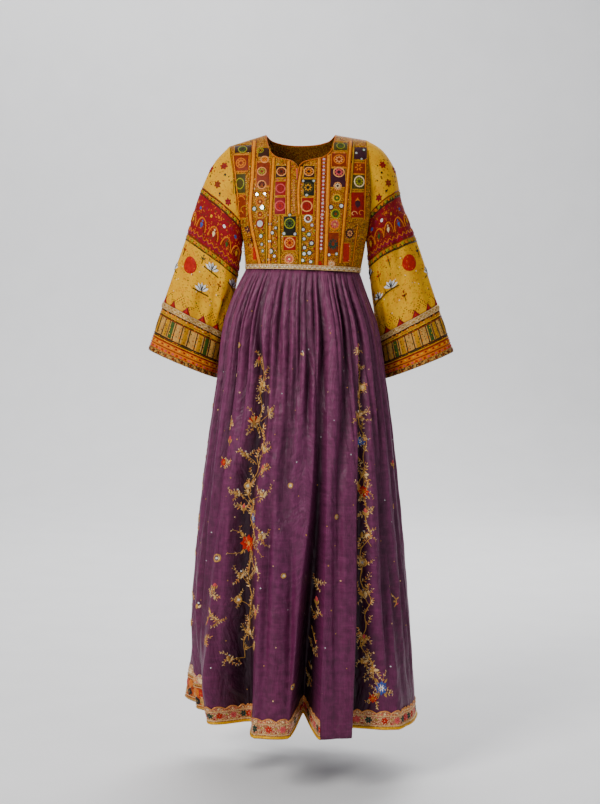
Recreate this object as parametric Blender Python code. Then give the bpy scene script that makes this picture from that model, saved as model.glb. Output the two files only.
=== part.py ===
"""High-waisted maxi dress with bell sleeves, kept in its worn, hollow form.

Metres, +Z up, the front faces -Y. The origin is between the shoulders, where the
wearer carries the dress. Left is -X and right is +X, as seen from the front.
"""
import bmesh
import bpy
import numpy as np

# ---- driving dimensions -----------------------------------------------------
NECK_POINT_Z = 0.010        # the shoulder seams' inner ends, above the origin
SHOULDER_DROP = (-0.026, -0.012)    # the seams' outer ends under the neck points
UNDERARM_Z = -0.250
WAIST_Z = -0.3185
WAIST_TILT = 0.0045         # the waist seam sinks by this much at the right
WAIST_RISE = 0.004          # and rises by this much at the front
HEM_Z = -1.388

BODICE_CLOTH = 0.0018
SLEEVE_CLOTH = 0.0015
SKIRT_CLOTH = 0.0015
TRIM_CLOTH = 0.0010
SEAM = 0.0003               # space left between pieces that are sewn together
SEAM_SLEEVE = 0.0009
SEAM_WAIST = 0.0005
TRIM_LIFT = 0.0004
EDGE_STEP = 1e-4            # step for slopes, as a share of a panel

# Bodice outline: heights, then the left and right edges at those heights.
BODICE_HEIGHTS = (-0.330, -0.250, -0.153, -0.085, -0.020, 0.0)
BODICE_LEFT = (-0.130, -0.136, -0.149, -0.158, -0.167, -0.167)
BODICE_RIGHT = (0.139, 0.153, 0.1625, 0.159, 0.153, 0.152)
# Depth of the chest and the back at the middle of the body.
CHEST_HEIGHTS = (-0.330, -0.260, -0.200, -0.120, -0.060, 0.0)
CHEST_DEPTH = (0.104, 0.117, 0.120, 0.103, 0.086, 0.072)
BACK_DEPTH = (0.088, 0.095, 0.102, 0.104, 0.092, 0.070)
ROUNDNESS_HEIGHTS = (-0.330, -0.200)
ROUNDNESS = (2.0, 2.4)
SHOULDER_ROUND = 0.130      # height over which the cloth turns over the shoulder
ARMHOLE_FRONT = 0.048
ARMHOLE_BACK = 0.055

# Neck edge of the front, from the left neck point round the slit to the right one.
NECK_FRONT = (
    (-0.0834, 0.0), (-0.0822, -0.009), (-0.0785, -0.026), (-0.0720, -0.043),
    (-0.060, -0.0555),
    (-0.040, -0.0615), (-0.0240, -0.066), (-0.0165, -0.073), (-0.0120, -0.084),
    (-0.0092, -0.108), (-0.0064, -0.084), (-0.0010, -0.075), (0.0060, -0.069),
    (0.0180, -0.065), (0.0330, -0.0615), (0.0550, -0.0555), (0.0690, -0.043),
    (0.0765, -0.026), (0.0805, -0.009), (0.0818, 0.0))
SLIT_FOOT = 9               # the neck edge's lowest point, at the foot of the slit
NECK_BACK = (
    (-0.0834, 0.0), (-0.072, -0.011), (-0.052, -0.018), (-0.025, -0.022),
    (0.0, -0.023), (0.025, -0.022), (0.052, -0.018), (0.071, -0.011), (0.0818, 0.0))
NECK_MIDDLE = (0.0, 0.0, 0.02)
BINDING_HEIGHT = 0.003
TRIM_ROUGHNESS = 0.45
TRIM_SHINE = 0.3

# Sleeves: share of the length, then the outer edge's x and z at those shares.
SLEEVE_OUTER = {
    -1: ((0.0, 0.094, 0.235, 0.448, 0.71, 1.0),
         (-0.1670, -0.2012, -0.2356, -0.2720, -0.3195, -0.3670),
         (-0.026, -0.0615, -0.1275, -0.233, -0.362, -0.507)),
    1: ((0.0, 0.074, 0.16, 0.322, 0.523, 0.714, 1.0),
        (0.1530, 0.1880, 0.2165, 0.2400, 0.2820, 0.3160, 0.3670),
        (-0.012, -0.033, -0.071, -0.158, -0.261, -0.362, -0.512))}
SLEEVE_INNER_SHARES = (0.0, 0.3, 0.6, 1.0)
SLEEVE_INNER = {
    -1: ((-0.136, -0.153, -0.174, -0.203), (-0.250, -0.350, -0.445, -0.576)),
    1: ((0.153, 0.165, 0.179, 0.199), (-0.250, -0.350, -0.445, -0.578))}
SLEEVE_BACKSET = (0.0035, 0.030, 0.060, 0.060)      # how far behind the body's middle
SLEEVE_HALF_DEPTH = (0.0515, 0.058, 0.060, 0.056)
SLEEVE_HEAD = 0.25          # share of the length over which the armhole's shape fades
SLEEVE_LENGTH = {-1: 0.525, 1: 0.555}       # of cloth, from the shoulder to the cuff
SLEEVE_HEAD_CUT = 0.150     # the head's cut at the underarm is this much lower
RIBBON_UP = (0.120, 0.107)  # the ribbon's two edges, above the cuff
CUFF_BRAID_UP = 0.012       # the braid's upper edge, above the cuff
ELBOW_CREASE = dict(angle=100.0, reach=26.0, depth=0.010, middle=0.55, length=0.38)

# Skirt rings: share of the way from waist to hem, then half widths and depths.
SKIRT_SHARES = (0.0, 0.035, 0.10, 0.24, 0.50, 0.73, 1.0)
SKIRT_LEFT = (0.1303, 0.151, 0.179, 0.201, 0.240, 0.266, 0.292)
SKIRT_RIGHT = (0.1390, 0.152, 0.177, 0.203, 0.236, 0.258, 0.278)
SKIRT_FRONT = (0.1040, 0.121, 0.138, 0.153, 0.175, 0.194, 0.215)
SKIRT_BACK = (0.0880, 0.107, 0.131, 0.155, 0.185, 0.210, 0.240)
SKIRT_SQUARENESS = (2.0, 2.05, 2.15, 2.25, 2.3, 2.3, 2.3)
LEFT_SEAM = -84.0           # degrees round from the front
RIGHT_SEAM = 98.0

# Folds of the skirt: centre, reach to the left and to the right (degrees), depth, and
# how blunt the fold's floor is (1 is round, less is flatter). The first four are set
# at six shares of the length; a negative depth stands out as a ridge.
FOLD_SHARES = (0.0, 0.12, 0.28, 0.50, 0.73, 1.0)
FRONT_FOLDS = {
    "side_left": ((-50, -50, -50, -52, -56, -62), (4, 4, 5, 6, 10, 18),
                  (4, 4, 5, 6, 8, 14), (0, 0.011, 0.012, 0.009, 0.010, 0.022), 1.0),
    "vine_valley": ((-32, -32, -27, -33, -32, -34), (4, 4, 7, 12, 15, 28),
                    (4, 4, 7, 11, 12, 13), (0, 0.014, 0.022, 0.036, 0.056, 0.125), 0.8),
    "small_left": ((-16, -16, -14, -13, -13, -13), (3, 4, 4, 4, 4, 4), (3, 4, 4, 4, 4, 4),
                   (0, 0.008, 0.007, 0.0, 0.0, 0.0), 1.0),
    "slant_one": ((1, 0, -4.5, -12, -14, -14), (4, 4.5, 6, 7, 7, 7), (4, 4.5, 6, 7, 7, 7),
                  (0, 0.008, 0.009, 0.005, 0.0, 0.0), 1.0),
    "slant_two": ((10, 9, 4, -1.5, -2, -2), (3, 3.5, 4, 5, 5, 5), (3, 3.5, 4, 5, 5, 5),
                  (0, 0.007, 0.006, 0.003, 0.0, 0.0), 1.0),
    "deep_centre": ((16, 16, 13, 10, 6, 1.5), (3, 3.5, 3.5, 4.5, 7, 7.5),
                    (3, 3.5, 3.5, 4, 5.5, 7.0), (0, 0.012, 0.015, 0.024, 0.055, 0.120), 0.45),
    "centre_seam": ((19.5, 19.5, 17, 14.5, 12, 9), (2, 2, 2, 2, 2, 2), (2, 2, 2, 2, 2, 2),
                    (0, 0.0005, 0.0005, 0.0005, 0.0005, 0.0), 1.0),
    "column": ((24, 24, 21, 18, 16, 14), (5, 5, 6, 7, 8, 8), (5, 5, 6, 7, 8, 8),
               (0, -0.004, -0.006, -0.006, -0.004, 0.0), 1.0),
    "column_dip": ((33, 33, 29, 20, 16, 15), (4, 4, 6, 6, 5, 4), (4, 4, 6, 6, 5, 4),
                   (0, 0.012, 0.013, 0.007, 0.005, 0.002), 1.0),
    "right_valley": ((46, 46, 42, 36, 34, 29), (3.5, 4, 4.5, 5, 6, 5), (3.5, 4, 5, 6, 9, 24),
                     (0, 0.012, 0.018, 0.026, 0.042, 0.075), 0.8),
    "side_right": ((58, 58, 57, 53, 56, 60), (4, 4, 5, 5, 6, 6), (4, 4, 5, 5, 6, 6),
                   (0, 0.006, 0.008, 0.009, 0.010, 0.002), 1.0),
    "seam_left": ((-84, -84, -84, -84, -84, -84), (8, 8, 8, 10, 16, 26),
                  (8, 8, 8, 10, 20, 37), (0, 0.004, 0.005, 0.010, 0.034, 0.104), 1.0),
    "left_lobe": ((-122, -122, -122, -122, -122, -122), (10, 10, 10, 13, 16, 20),
                  (10, 10, 10, 13, 16, 20), (0, 0, 0, -0.004, -0.018, -0.036), 1.0),
    "seam_right": ((98, 98, 98, 98, 98, 98), (8, 8, 8, 8, 10, 12), (8, 8, 8, 8, 10, 12),
                   (0, 0.003, 0.004, 0.007, 0.016, 0.036), 1.0)}
BACK_FOLDS = 6
BACK_FOLD_DEPTH = (0, 0.009, 0.014, 0.020, 0.032, 0.050)
BACK_FOLD_REACH = 11.0
BACK_FOLD_EASE = 0.3        # every other back fold is this much shallower
HEM_ARCH_LIFT = 0.028       # the hem rises in the deep centre fold

TRIM_HEIGHT = 0.046         # scalloped lace at the front hem
BORDER_HEIGHT = 0.062       # orange band at the back hem
LACE_HEIGHT = 0.028         # cream lace above that band
TRIM_START_RIGHT = 30.0     # the right panel's lace starts here, degrees round

# Columns of the front panel keep to these folds, with so many columns between them.
TRACKS = ("side_left", "vine_valley", "deep_centre", "centre_seam", "right_valley",
          "side_right")
COLUMNS_BETWEEN = (7, 8, 16, 4, 10, 7, 7)
CENTRE_SEAM_TRACK = 4       # the panels meet at the end of this many spans
CROWDING = 0.6              # how much closer the columns stand near the folds
BACK_COLUMNS = 34
SKIRT_ROWS = (0.0, 0.035, 0.09, 0.17, 0.27, 0.38, 0.50, 0.62, 0.74, 0.86)
SLEEVE_COLUMNS = 16
SLEEVE_ROWS = (0.0, 0.12, 0.27, 0.44, 0.62, 0.81, 1.0)  # from the armhole to the ribbon
BODICE_ROWS = 8
BODICE_ROW_CROWDING = 1.15  # the rows stand a little closer near the top
SHOULDER_COLUMNS = (0.0, 0.08, 0.22, 0.42, 0.66)    # share of the shoulder seam
BRAID_HEIGHT = 0.010


# ---- forms ------------------------------------------------------------------
def smooth(x, knots, values):
    """A smooth curve through the given values, read at x."""
    knots = np.asarray(knots, float)
    values = np.asarray(values, float)
    x = np.clip(np.asarray(x, float), knots[0], knots[-1])
    span = np.diff(knots)
    slope = np.diff(values) / span
    middle = (slope[:-1] * span[1:] + slope[1:] * span[:-1]) / (span[1:] + span[:-1])
    tangent = np.concatenate((slope[:1], middle, slope[-1:]))
    k = np.clip(np.searchsorted(knots, x, side="right") - 1, 0, len(span) - 1)
    t = (x - knots[k]) / span[k]
    start = (1 + 2 * t) * (1 - t) ** 2 * values[k] + t * (1 - t) ** 2 * span[k] * tangent[k]
    end = t * t * (3 - 2 * t) * values[k + 1] + t * t * (t - 1) * span[k] * tangent[k + 1]
    return start + end


def hump(t):
    """1 at t = 0, falling softly to 0 at t = -1 and t = 1."""
    return 0.5 * (1 + np.cos(np.pi * np.clip(t, -1, 1)))


def share_across(x):
    """Place of x between the shoulder tips, from -1 to 1."""
    left, right = BODICE_LEFT[-1], BODICE_RIGHT[-1]
    return 2 * (np.asarray(x, float) - left) / (right - left) - 1


def shoulder_line(across):
    """Height of the shoulder seam."""
    neck_left, neck_right = share_across((NECK_FRONT[0][0], NECK_FRONT[-1][0]))
    left = np.interp(-across, (-neck_left, 1), (0.0, SHOULDER_DROP[0]))
    right = np.interp(across, (neck_right, 1), (0.0, SHOULDER_DROP[1]))
    return np.where(across < 0, left, right)


def bodice_edges(z):
    return smooth(z, BODICE_HEIGHTS, BODICE_LEFT), smooth(z, BODICE_HEIGHTS, BODICE_RIGHT)


def waist_height(across):
    """Height of the waist seam; across runs from -1 (left seam) to 1 (right seam)."""
    return WAIST_Z - WAIST_TILT * across


def armhole_depth(z, side, most):
    """How far the armhole seam stands from the body's middle plane, at height z."""
    top = SHOULDER_DROP[0 if side < 0 else 1]
    share = np.clip((top - z) / (top - UNDERARM_Z), 0, 1)
    return most * np.sqrt(1 - (1 - 2 * share) ** 2)


def bodice(across, top, down, front):
    """Point of the bodice. across: -1 to 1; top: height of the column's upper end;
    down: 0 at that end and 1 at the waist seam; front: True or False."""
    rise = WAIST_RISE * np.sqrt(np.clip(1 - across ** 2, 0, 1)) * (1 if front else -1)
    z = top + (waist_height(across) + rise - top) * down
    left, right = bodice_edges(z)
    x = left + (right - left) * (across + 1) / 2
    middle = smooth(z, CHEST_HEIGHTS, CHEST_DEPTH if front else BACK_DEPTH)
    turn = np.clip((shoulder_line(across) - z) / SHOULDER_ROUND, 0, 1)
    middle = middle * np.sqrt(1 - (1 - turn) ** 2)
    power = smooth(z, ROUNDNESS_HEIGHTS, ROUNDNESS)
    round_off = np.sqrt(np.clip(1 - np.abs(across) ** power, 0, 1))
    most = ARMHOLE_FRONT if front else ARMHOLE_BACK
    edge = np.where(across < 0, armhole_depth(z, -1, most), armhole_depth(z, 1, most))
    depth = SEAM / 2 + middle * round_off + edge * (1 - round_off)
    return np.stack((x, -depth if front else depth, z), -1)


def sleeve(side, turn, down):
    """Point of a sleeve. turn: 0 at the outer edge, 0.25 at the front, 0.5 at the inner
    edge; down: 0 at the armhole and 1 at the cuff."""
    shares, xs, zs = SLEEVE_OUTER[side]
    outer = np.stack((smooth(down, shares, xs), smooth(down, shares, zs)), -1)
    xs, zs = SLEEVE_INNER[side]
    inner = np.stack((smooth(down, SLEEVE_INNER_SHARES, xs),
                      smooth(down, SLEEVE_INNER_SHARES, zs)), -1)
    angle = 2 * np.pi * turn
    crease = ELBOW_CREASE
    off = (np.degrees(angle) + 180) % 360 - 180 - crease["angle"]
    pinch = crease["depth"] * hump(off / crease["reach"])
    pinch = pinch * hump((down - crease["middle"]) / crease["length"])
    half = (outer - inner) / 2
    shrink = 1 - pinch / np.linalg.norm(half, axis=-1)
    flat = (outer + inner) / 2 + half * (np.cos(angle) * shrink)[..., None]
    head = np.clip(1 - down / SLEEVE_HEAD, 0, 1)
    deep = smooth(down, SLEEVE_INNER_SHARES, SLEEVE_HALF_DEPTH)
    armhole = np.where(np.sin(angle) > 0, ARMHOLE_FRONT, ARMHOLE_BACK)
    back = smooth(down, SLEEVE_INNER_SHARES, SLEEVE_BACKSET)
    deep = deep * (1 - head) + armhole * head
    y = back * (1 - head) - (deep - pinch) * np.sin(angle)
    # The sleeve's head follows the bodice's armhole seam.
    x0 = (SLEEVE_OUTER[side][1][0] * (1 + np.cos(angle)) + xs[0] * (1 - np.cos(angle))) / 2
    z0 = (SLEEVE_OUTER[side][2][0] * (1 + np.cos(angle)) + zs[0] * (1 - np.cos(angle))) / 2
    bulge = bodice_edges(z0)[0 if side < 0 else 1] - x0
    x = flat[..., 0] + bulge * head + side * SEAM_SLEEVE
    return np.stack((x, y, flat[..., 1]), -1)


def sleeve_down(side, turn, up):
    """Share of the way down a sleeve where the cloth is a length up from the cuff."""
    head = SLEEVE_HEAD_CUT * (1 - np.cos(2 * np.pi * turn)) / 2
    return 1 - up / (SLEEVE_LENGTH[side] - head)


def fold_depth(angle, share):
    """How far the skirt lies inside its plain ring, at an angle in degrees."""
    total = np.zeros_like(angle)
    for centre, left, right, depth, blunt in FRONT_FOLDS.values():
        off = angle - smooth(share, FOLD_SHARES, centre)
        off = (off + 180) % 360 - 180
        reach = np.where(off < 0, smooth(share, FOLD_SHARES, left),
                         smooth(share, FOLD_SHARES, right))
        total += smooth(share, FOLD_SHARES, depth) * hump(off / reach) ** blunt
    pitch = (360 + LEFT_SEAM - RIGHT_SEAM) / (BACK_FOLDS + 1)
    for k in range(1, BACK_FOLDS + 1):
        off = (angle - RIGHT_SEAM - k * pitch + 180) % 360 - 180
        depth = smooth(share, FOLD_SHARES, BACK_FOLD_DEPTH) * (1 - BACK_FOLD_EASE * (k % 2))
        total += depth * hump(off / BACK_FOLD_REACH)
    return total


def skirt(angle, share):
    """Point of the skirt. angle: degrees round from the front, + to the right;
    share: 0 at the waist seam and 1 at the hem."""
    sine = np.sin(np.radians(angle))
    cosine = np.cos(np.radians(angle))
    wide = np.where(sine < 0, smooth(share, SKIRT_SHARES, SKIRT_LEFT),
                    smooth(share, SKIRT_SHARES, SKIRT_RIGHT))
    deep = np.where(cosine > 0, smooth(share, SKIRT_SHARES, SKIRT_FRONT),
                    smooth(share, SKIRT_SHARES, SKIRT_BACK))
    power = smooth(share, SKIRT_SHARES, SKIRT_SQUARENESS)
    swell = (np.abs(sine) ** power + np.abs(cosine) ** power) ** (-1 / power)
    drift = (BODICE_LEFT[0] + BODICE_RIGHT[0]) / 2 * np.clip(1 - share / 0.05, 0, 1)
    x = wide * swell * sine + drift * (1 - np.abs(sine))
    y = -deep * swell * cosine
    normal = np.stack((sine / wide, -cosine / deep), -1)
    normal /= np.linalg.norm(normal, axis=-1)[..., None]
    inward = fold_depth(angle, share)
    x = x - normal[..., 0] * inward
    y = y - normal[..., 1] * inward
    centre, left = FRONT_FOLDS["deep_centre"][:2]
    arch = hump((angle - centre[-1]) / left[-1])
    waist = waist_height(sine) + WAIST_RISE * cosine - SEAM_WAIST
    hem = HEM_Z + HEM_ARCH_LIFT * arch
    return np.stack((x, y, waist + (hem - waist) * share), -1)


def follow(column, share):
    """Angle of a column of the front panel, which keeps to the folds beside it."""
    ends = [LEFT_SEAM] + [smooth(share, FOLD_SHARES, FRONT_FOLDS[t][0]) for t in TRACKS]
    ends = np.array([e + 0 * share for e in ends + [RIGHT_SEAM]])
    k = np.clip(np.floor(column).astype(int), 0, len(ends) - 2)
    t = column - k
    t = t - CROWDING * np.sin(2 * np.pi * t) / (2 * np.pi)
    low = np.take_along_axis(ends, k[None], 0)[0]
    high = np.take_along_axis(ends, k[None] + 1, 0)[0]
    return low + (high - low) * t


# ---- building ---------------------------------------------------------------
def grid_of(surface, across, down):
    """Outer points and outward normals of a surface over two lists of positions."""
    a, d = np.meshgrid(across, down)
    a, d = a.astype(float), d.astype(float)
    step_a = EDGE_STEP * (across[-1] - across[0])
    upper, lower = np.clip(d - EDGE_STEP, 0, 1), np.clip(d + EDGE_STEP, 0, 1)
    points = surface(a, d)
    normals = np.cross(surface(a, lower) - surface(a, upper),
                       surface(a + step_a, d) - surface(a - step_a, d))
    normals /= np.linalg.norm(normals, axis=-1)[..., None]
    return points, normals


def wall(name, colour, roughness, outer, inner, base, ring=False, metallic=0.0):
    """A closed cloth wall between an outer and an inner grid of points. Each cell is cut
    along the shorter diagonal of the base grid, alike in every layer, so none cross."""
    rows, columns = outer.shape[:2]
    bm = bmesh.new()
    skins = [[[bm.verts.new((p[0], p[1], p[2] + NECK_POINT_Z)) for p in row] for row in skin]
             for skin in (outer, inner)]
    last = columns if ring else columns - 1

    def cell(a, b, c, d):
        bm.faces.new((a, b, c))
        bm.faces.new((a, c, d))

    o, i = skins
    for c in range(last):
        n = (c + 1) % columns
        for r in range(rows - 1):
            falling = np.linalg.norm(base[r, c] - base[r + 1, n])
            rising = np.linalg.norm(base[r + 1, c] - base[r, n])
            for skin in skins:
                corners = [skin[r][c], skin[r + 1][c], skin[r + 1][n], skin[r][n]]
                if rising < falling:
                    corners = corners[1:] + corners[:1]
                cell(*corners)
        cell(o[0][c], o[0][n], i[0][n], i[0][c])
        cell(o[-1][n], o[-1][c], i[-1][c], i[-1][n])
    if not ring:
        for r in range(rows - 1):
            cell(o[r + 1][0], o[r][0], i[r][0], i[r + 1][0])
            cell(o[r][-1], o[r + 1][-1], i[r + 1][-1], i[r][-1])
    bmesh.ops.recalc_face_normals(bm, faces=bm.faces[:])
    if bm.calc_volume(signed=True) < 0:
        bmesh.ops.reverse_faces(bm, faces=bm.faces[:])
    mesh = bpy.data.meshes.new(name)
    bm.to_mesh(mesh)
    bm.free()
    mesh.shade_smooth()
    obj = bpy.data.objects.new(name, mesh)
    bpy.context.scene.collection.objects.link(obj)
    material = bpy.data.materials.new(name + "_cloth")
    material.use_nodes = True
    shader = material.node_tree.nodes["Principled BSDF"]
    shader.inputs["Base Color"].default_value = (*colour, 1.0)
    shader.inputs["Roughness"].default_value = roughness
    shader.inputs["Metallic"].default_value = metallic
    mesh.materials.append(material)
    return obj


PLUM = (0.075, 0.014, 0.060)
MARIGOLD = (0.80, 0.40, 0.02)
ORANGE = (0.75, 0.20, 0.02)
RUST = (0.45, 0.08, 0.02)
GOLD = (0.70, 0.45, 0.12)
SILVER_GOLD = (0.60, 0.55, 0.42)
BROWN = (0.12, 0.06, 0.02)
CREAM = (0.75, 0.52, 0.32)


def panel(name, points, normals, colour, cloth, roughness=0.6, ring=False):
    return wall(name, colour, roughness, points, points - normals * cloth, points, ring)


def trim(name, points, normals, colour, base=None, ring=False):
    low = points + normals * TRIM_LIFT
    base = points if base is None else base
    return wall(name, colour, TRIM_ROUGHNESS, low + normals * TRIM_CLOTH, low,
                base, ring, TRIM_SHINE)


def bodice_panel(front):
    """Grid of a bodice panel: the neck edge's columns, then the shoulders' ones."""
    neck = NECK_FRONT if front else NECK_BACK
    left, right = BODICE_LEFT[-1], BODICE_RIGHT[-1]
    tops = [left + (neck[0][0] - left) * s for s in SHOULDER_COLUMNS]
    tops += [x for x, _ in neck]
    tops += [right + (neck[-1][0] - right) * s for s in reversed(SHOULDER_COLUMNS)]
    tops = np.array(tops)
    across = share_across(tops)
    heights = shoulder_line(across)
    inside = slice(len(SHOULDER_COLUMNS), len(SHOULDER_COLUMNS) + len(neck))
    heights[inside] = [z for _, z in neck]
    length = heights - WAIST_Z
    braid = 1 - BRAID_HEIGHT / length
    rows = np.linspace(0, 1, BODICE_ROWS) ** BODICE_ROW_CROWDING
    down = np.array([r * braid for r in rows] + [np.ones_like(braid)])
    a = np.tile(across, (len(down), 1))
    step = EDGE_STEP
    before, after = np.clip(a - step, -1, 1), np.clip(a + step, -1, 1)
    upper, lower = np.clip(down - step, 0, 1), np.clip(down + step, 0, 1)
    top = np.tile(heights, (len(down), 1))
    points = bodice(a, top, down, front)
    slope_a = bodice(after, top, down, front) - bodice(before, top, down, front)
    slope_d = bodice(a, top, lower, front) - bodice(a, top, upper, front)
    normals = np.cross(slope_d, slope_a) * (1 if front else -1)
    normals /= np.linalg.norm(normals, axis=-1)[..., None]
    return points, normals, inside


def binding(name, edge, normals, across_edge):
    """A strip that sits on a neck edge, as tall as the binding and as thick as both."""
    low = edge + across_edge * SEAM
    high = low + across_edge * BINDING_HEIGHT
    outer = np.stack((high, low)) + normals * TRIM_LIFT
    inner = np.stack((high, low)) - normals * (BODICE_CLOTH + TRIM_LIFT)
    return wall(name, ORANGE, 0.6, outer, inner, outer)


def edge_frame(points, normals, upward):
    """Directions in the cloth, square to its edge and pointing off the panel."""
    along = np.gradient(points, axis=0)
    off = np.cross(along, normals)
    off *= np.sign(np.sum(off * upward, -1))[..., None]
    for end in (0, -1):
        if abs(points[end, 1]) < SEAM:      # an end at the shoulder seam stays square to it
            off[end, 1] = 0
    return off / np.linalg.norm(off, axis=-1)[..., None]


def build_bodice():
    for front in (True, False):
        word = "front" if front else "back"
        points, normals, neck = bodice_panel(front)
        panel("bodice_" + word, points, normals, MARIGOLD, BODICE_CLOTH)
        trim("waist_braid_" + word, points[-2:], normals[-2:], SILVER_GOLD)
        edge, out = points[0, neck], normals[0, neck]
        off = edge_frame(edge, out, np.array(NECK_MIDDLE) - edge)
        if front:
            left, right = slice(0, SLIT_FOOT - 1), slice(SLIT_FOOT + 2, None)
            binding("neck_binding_left", edge[left], out[left], off[left])
            binding("neck_binding_right", edge[right], out[right], off[right])
        else:
            binding("neck_binding_back", edge, out, off)


def build_sleeves():
    turns = np.arange(SLEEVE_COLUMNS) / SLEEVE_COLUMNS
    for side, word in ((-1, "left"), (1, "right")):

        def upper(turn, row):
            return sleeve(side, turn, row * sleeve_down(side, turn, RIBBON_UP[0] + SEAM))

        points, normals = grid_of(upper, turns, SLEEVE_ROWS)
        normals = normals * -side
        normals[0, :, 0] = 0        # the head's rim lies in the armhole's plane
        normals[0] /= np.linalg.norm(normals[0], axis=-1)[..., None]
        panel("sleeve_" + word, points, normals, MARIGOLD, SLEEVE_CLOTH, ring=True)

        def lower(turn, row):
            return sleeve(side, turn, sleeve_down(side, turn, RIBBON_UP[0] * (1 - row)))

        rows = [1 - up / RIBBON_UP[0] for up in (*RIBBON_UP, CUFF_BRAID_UP, 0.0)]
        points, normals = grid_of(lower, turns, rows)
        normals = normals * -side
        panel("sleeve_border_" + word, points, normals, GOLD, SLEEVE_CLOTH, ring=True)
        trim("sleeve_ribbon_" + word, points[:2], normals[:2], GOLD, ring=True)
        trim("cuff_braid_" + word, points[2:], normals[2:], BROWN, ring=True)


def open_seams(points):
    """Draw a panel's two side edges in by half of a seam's gap."""
    for edge, beside in ((0, 1), (-1, -2)):
        along = points[:, beside] - points[:, edge]
        along /= np.linalg.norm(along, axis=-1)[..., None]
        points[:, edge] += along * SEAM


def build_skirt():
    length = WAIST_Z - HEM_Z
    front = [k + n / count for k, count in enumerate(COLUMNS_BETWEEN) for n in range(count)]
    front = np.array(front + [len(COLUMNS_BETWEEN)], float)
    back = np.linspace(RIGHT_SEAM, 360 + LEFT_SEAM, BACK_COLUMNS + 1)

    trim_top = 1 - TRIM_HEIGHT / length
    rows = SKIRT_ROWS + (trim_top, 1.0)
    seam = sum(COLUMNS_BETWEEN[:CENTRE_SEAM_TRACK])
    for word, columns in (("left", slice(0, seam + 1)), ("right", slice(seam, None))):
        points, normals = grid_of(lambda c, d: skirt(follow(c, d), d), front, rows)
        points, normals = points[:, columns], normals[:, columns]
        open_seams(points)
        panel("skirt_front_" + word, points, normals, PLUM, SKIRT_CLOTH, 0.4)
        hem_angle = follow(front, np.ones_like(front))[columns]
        laced = hem_angle >= (TRIM_START_RIGHT if word == "right" else LEFT_SEAM)
        trim("hem_trim_" + word, points[-2:, laced], normals[-2:, laced], GOLD)

    border_top = 1 - BORDER_HEIGHT / length
    lace_top = 1 - (BORDER_HEIGHT + LACE_HEIGHT) / length
    whole, normals = grid_of(skirt, back, SKIRT_ROWS + (lace_top, border_top, 1.0))
    middle = BACK_COLUMNS // 2
    for word, columns in (("right", slice(0, middle + 1)), ("left", slice(middle, None))):
        points = whole[:, columns].copy()
        open_seams(points)
        panel("skirt_back_" + word, points, normals[:, columns], PLUM, SKIRT_CLOTH, 0.4)
    points = whole.copy()
    open_seams(points)
    trim("hem_border_back", points[-2:], normals[-2:], RUST)
    lace = points[-3:-1].copy()
    lace[-1] += np.array((0, 0, SEAM))
    trim("hem_lace_back", lace, normals[-3:-1], CREAM, base=points[-3:-1])


def main():
    for obj in list(bpy.data.objects):
        bpy.data.objects.remove(obj)
    build_bodice()
    build_sleeves()
    build_skirt()


main()
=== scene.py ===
"""Looks of a high-waisted maxi dress: its cloth, patchwork, embroidery, braids and lace.

Metres, +Z up, the front faces -Y. Left is -X and right is +X, as seen from the front.
Each cloth is a fine grid on its panel's form. Needlework is worked flat, in places on a
cloth, and is then laid on that cloth.
"""
import math
import random

import bmesh
import bpy
import mathutils
import numpy as np
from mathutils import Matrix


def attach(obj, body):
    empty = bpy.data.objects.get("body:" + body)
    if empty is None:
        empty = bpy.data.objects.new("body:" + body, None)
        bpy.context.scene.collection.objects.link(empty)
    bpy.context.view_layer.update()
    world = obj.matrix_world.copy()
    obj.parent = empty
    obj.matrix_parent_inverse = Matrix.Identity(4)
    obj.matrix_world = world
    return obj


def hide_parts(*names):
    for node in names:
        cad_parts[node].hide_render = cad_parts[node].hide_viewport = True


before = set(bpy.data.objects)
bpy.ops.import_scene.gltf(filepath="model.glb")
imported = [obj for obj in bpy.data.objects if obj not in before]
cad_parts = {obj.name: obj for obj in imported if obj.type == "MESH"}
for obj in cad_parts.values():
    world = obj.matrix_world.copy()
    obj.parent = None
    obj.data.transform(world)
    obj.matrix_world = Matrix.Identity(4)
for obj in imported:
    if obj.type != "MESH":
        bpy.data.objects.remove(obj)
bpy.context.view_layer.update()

dice = random.Random(7)

# ---- driving dimensions -----------------------------------------------------
NECK_POINT_Z = 0.010
SHOULDER_DROP = (-0.026, -0.012)
UNDERARM_Z = -0.250
WAIST_Z = -0.3185
WAIST_TILT = 0.0045
WAIST_RISE = 0.004
HEM_Z = -1.388
BODICE_WALL = 0.0018
SLEEVE_WALL = 0.0015
SKIRT_WALL = 0.0015
SEAM = 0.0003
SEAM_SLEEVE = 0.0009
SEAM_WAIST = 0.0005
BODICE_HEIGHTS = (-0.330, -0.250, -0.153, -0.085, -0.020, 0.0)
BODICE_LEFT = (-0.130, -0.136, -0.149, -0.158, -0.167, -0.167)
BODICE_RIGHT = (0.139, 0.153, 0.1625, 0.159, 0.153, 0.152)
CHEST_HEIGHTS = (-0.330, -0.260, -0.200, -0.120, -0.060, 0.0)
CHEST_DEPTH = (0.104, 0.117, 0.120, 0.103, 0.086, 0.072)
BACK_DEPTH = (0.088, 0.095, 0.102, 0.104, 0.092, 0.070)
ROUNDNESS_HEIGHTS = (-0.330, -0.200)
ROUNDNESS = (2.0, 2.4)
SHOULDER_ROUND = 0.130
ARMHOLE_FRONT = 0.048
ARMHOLE_BACK = 0.055
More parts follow.
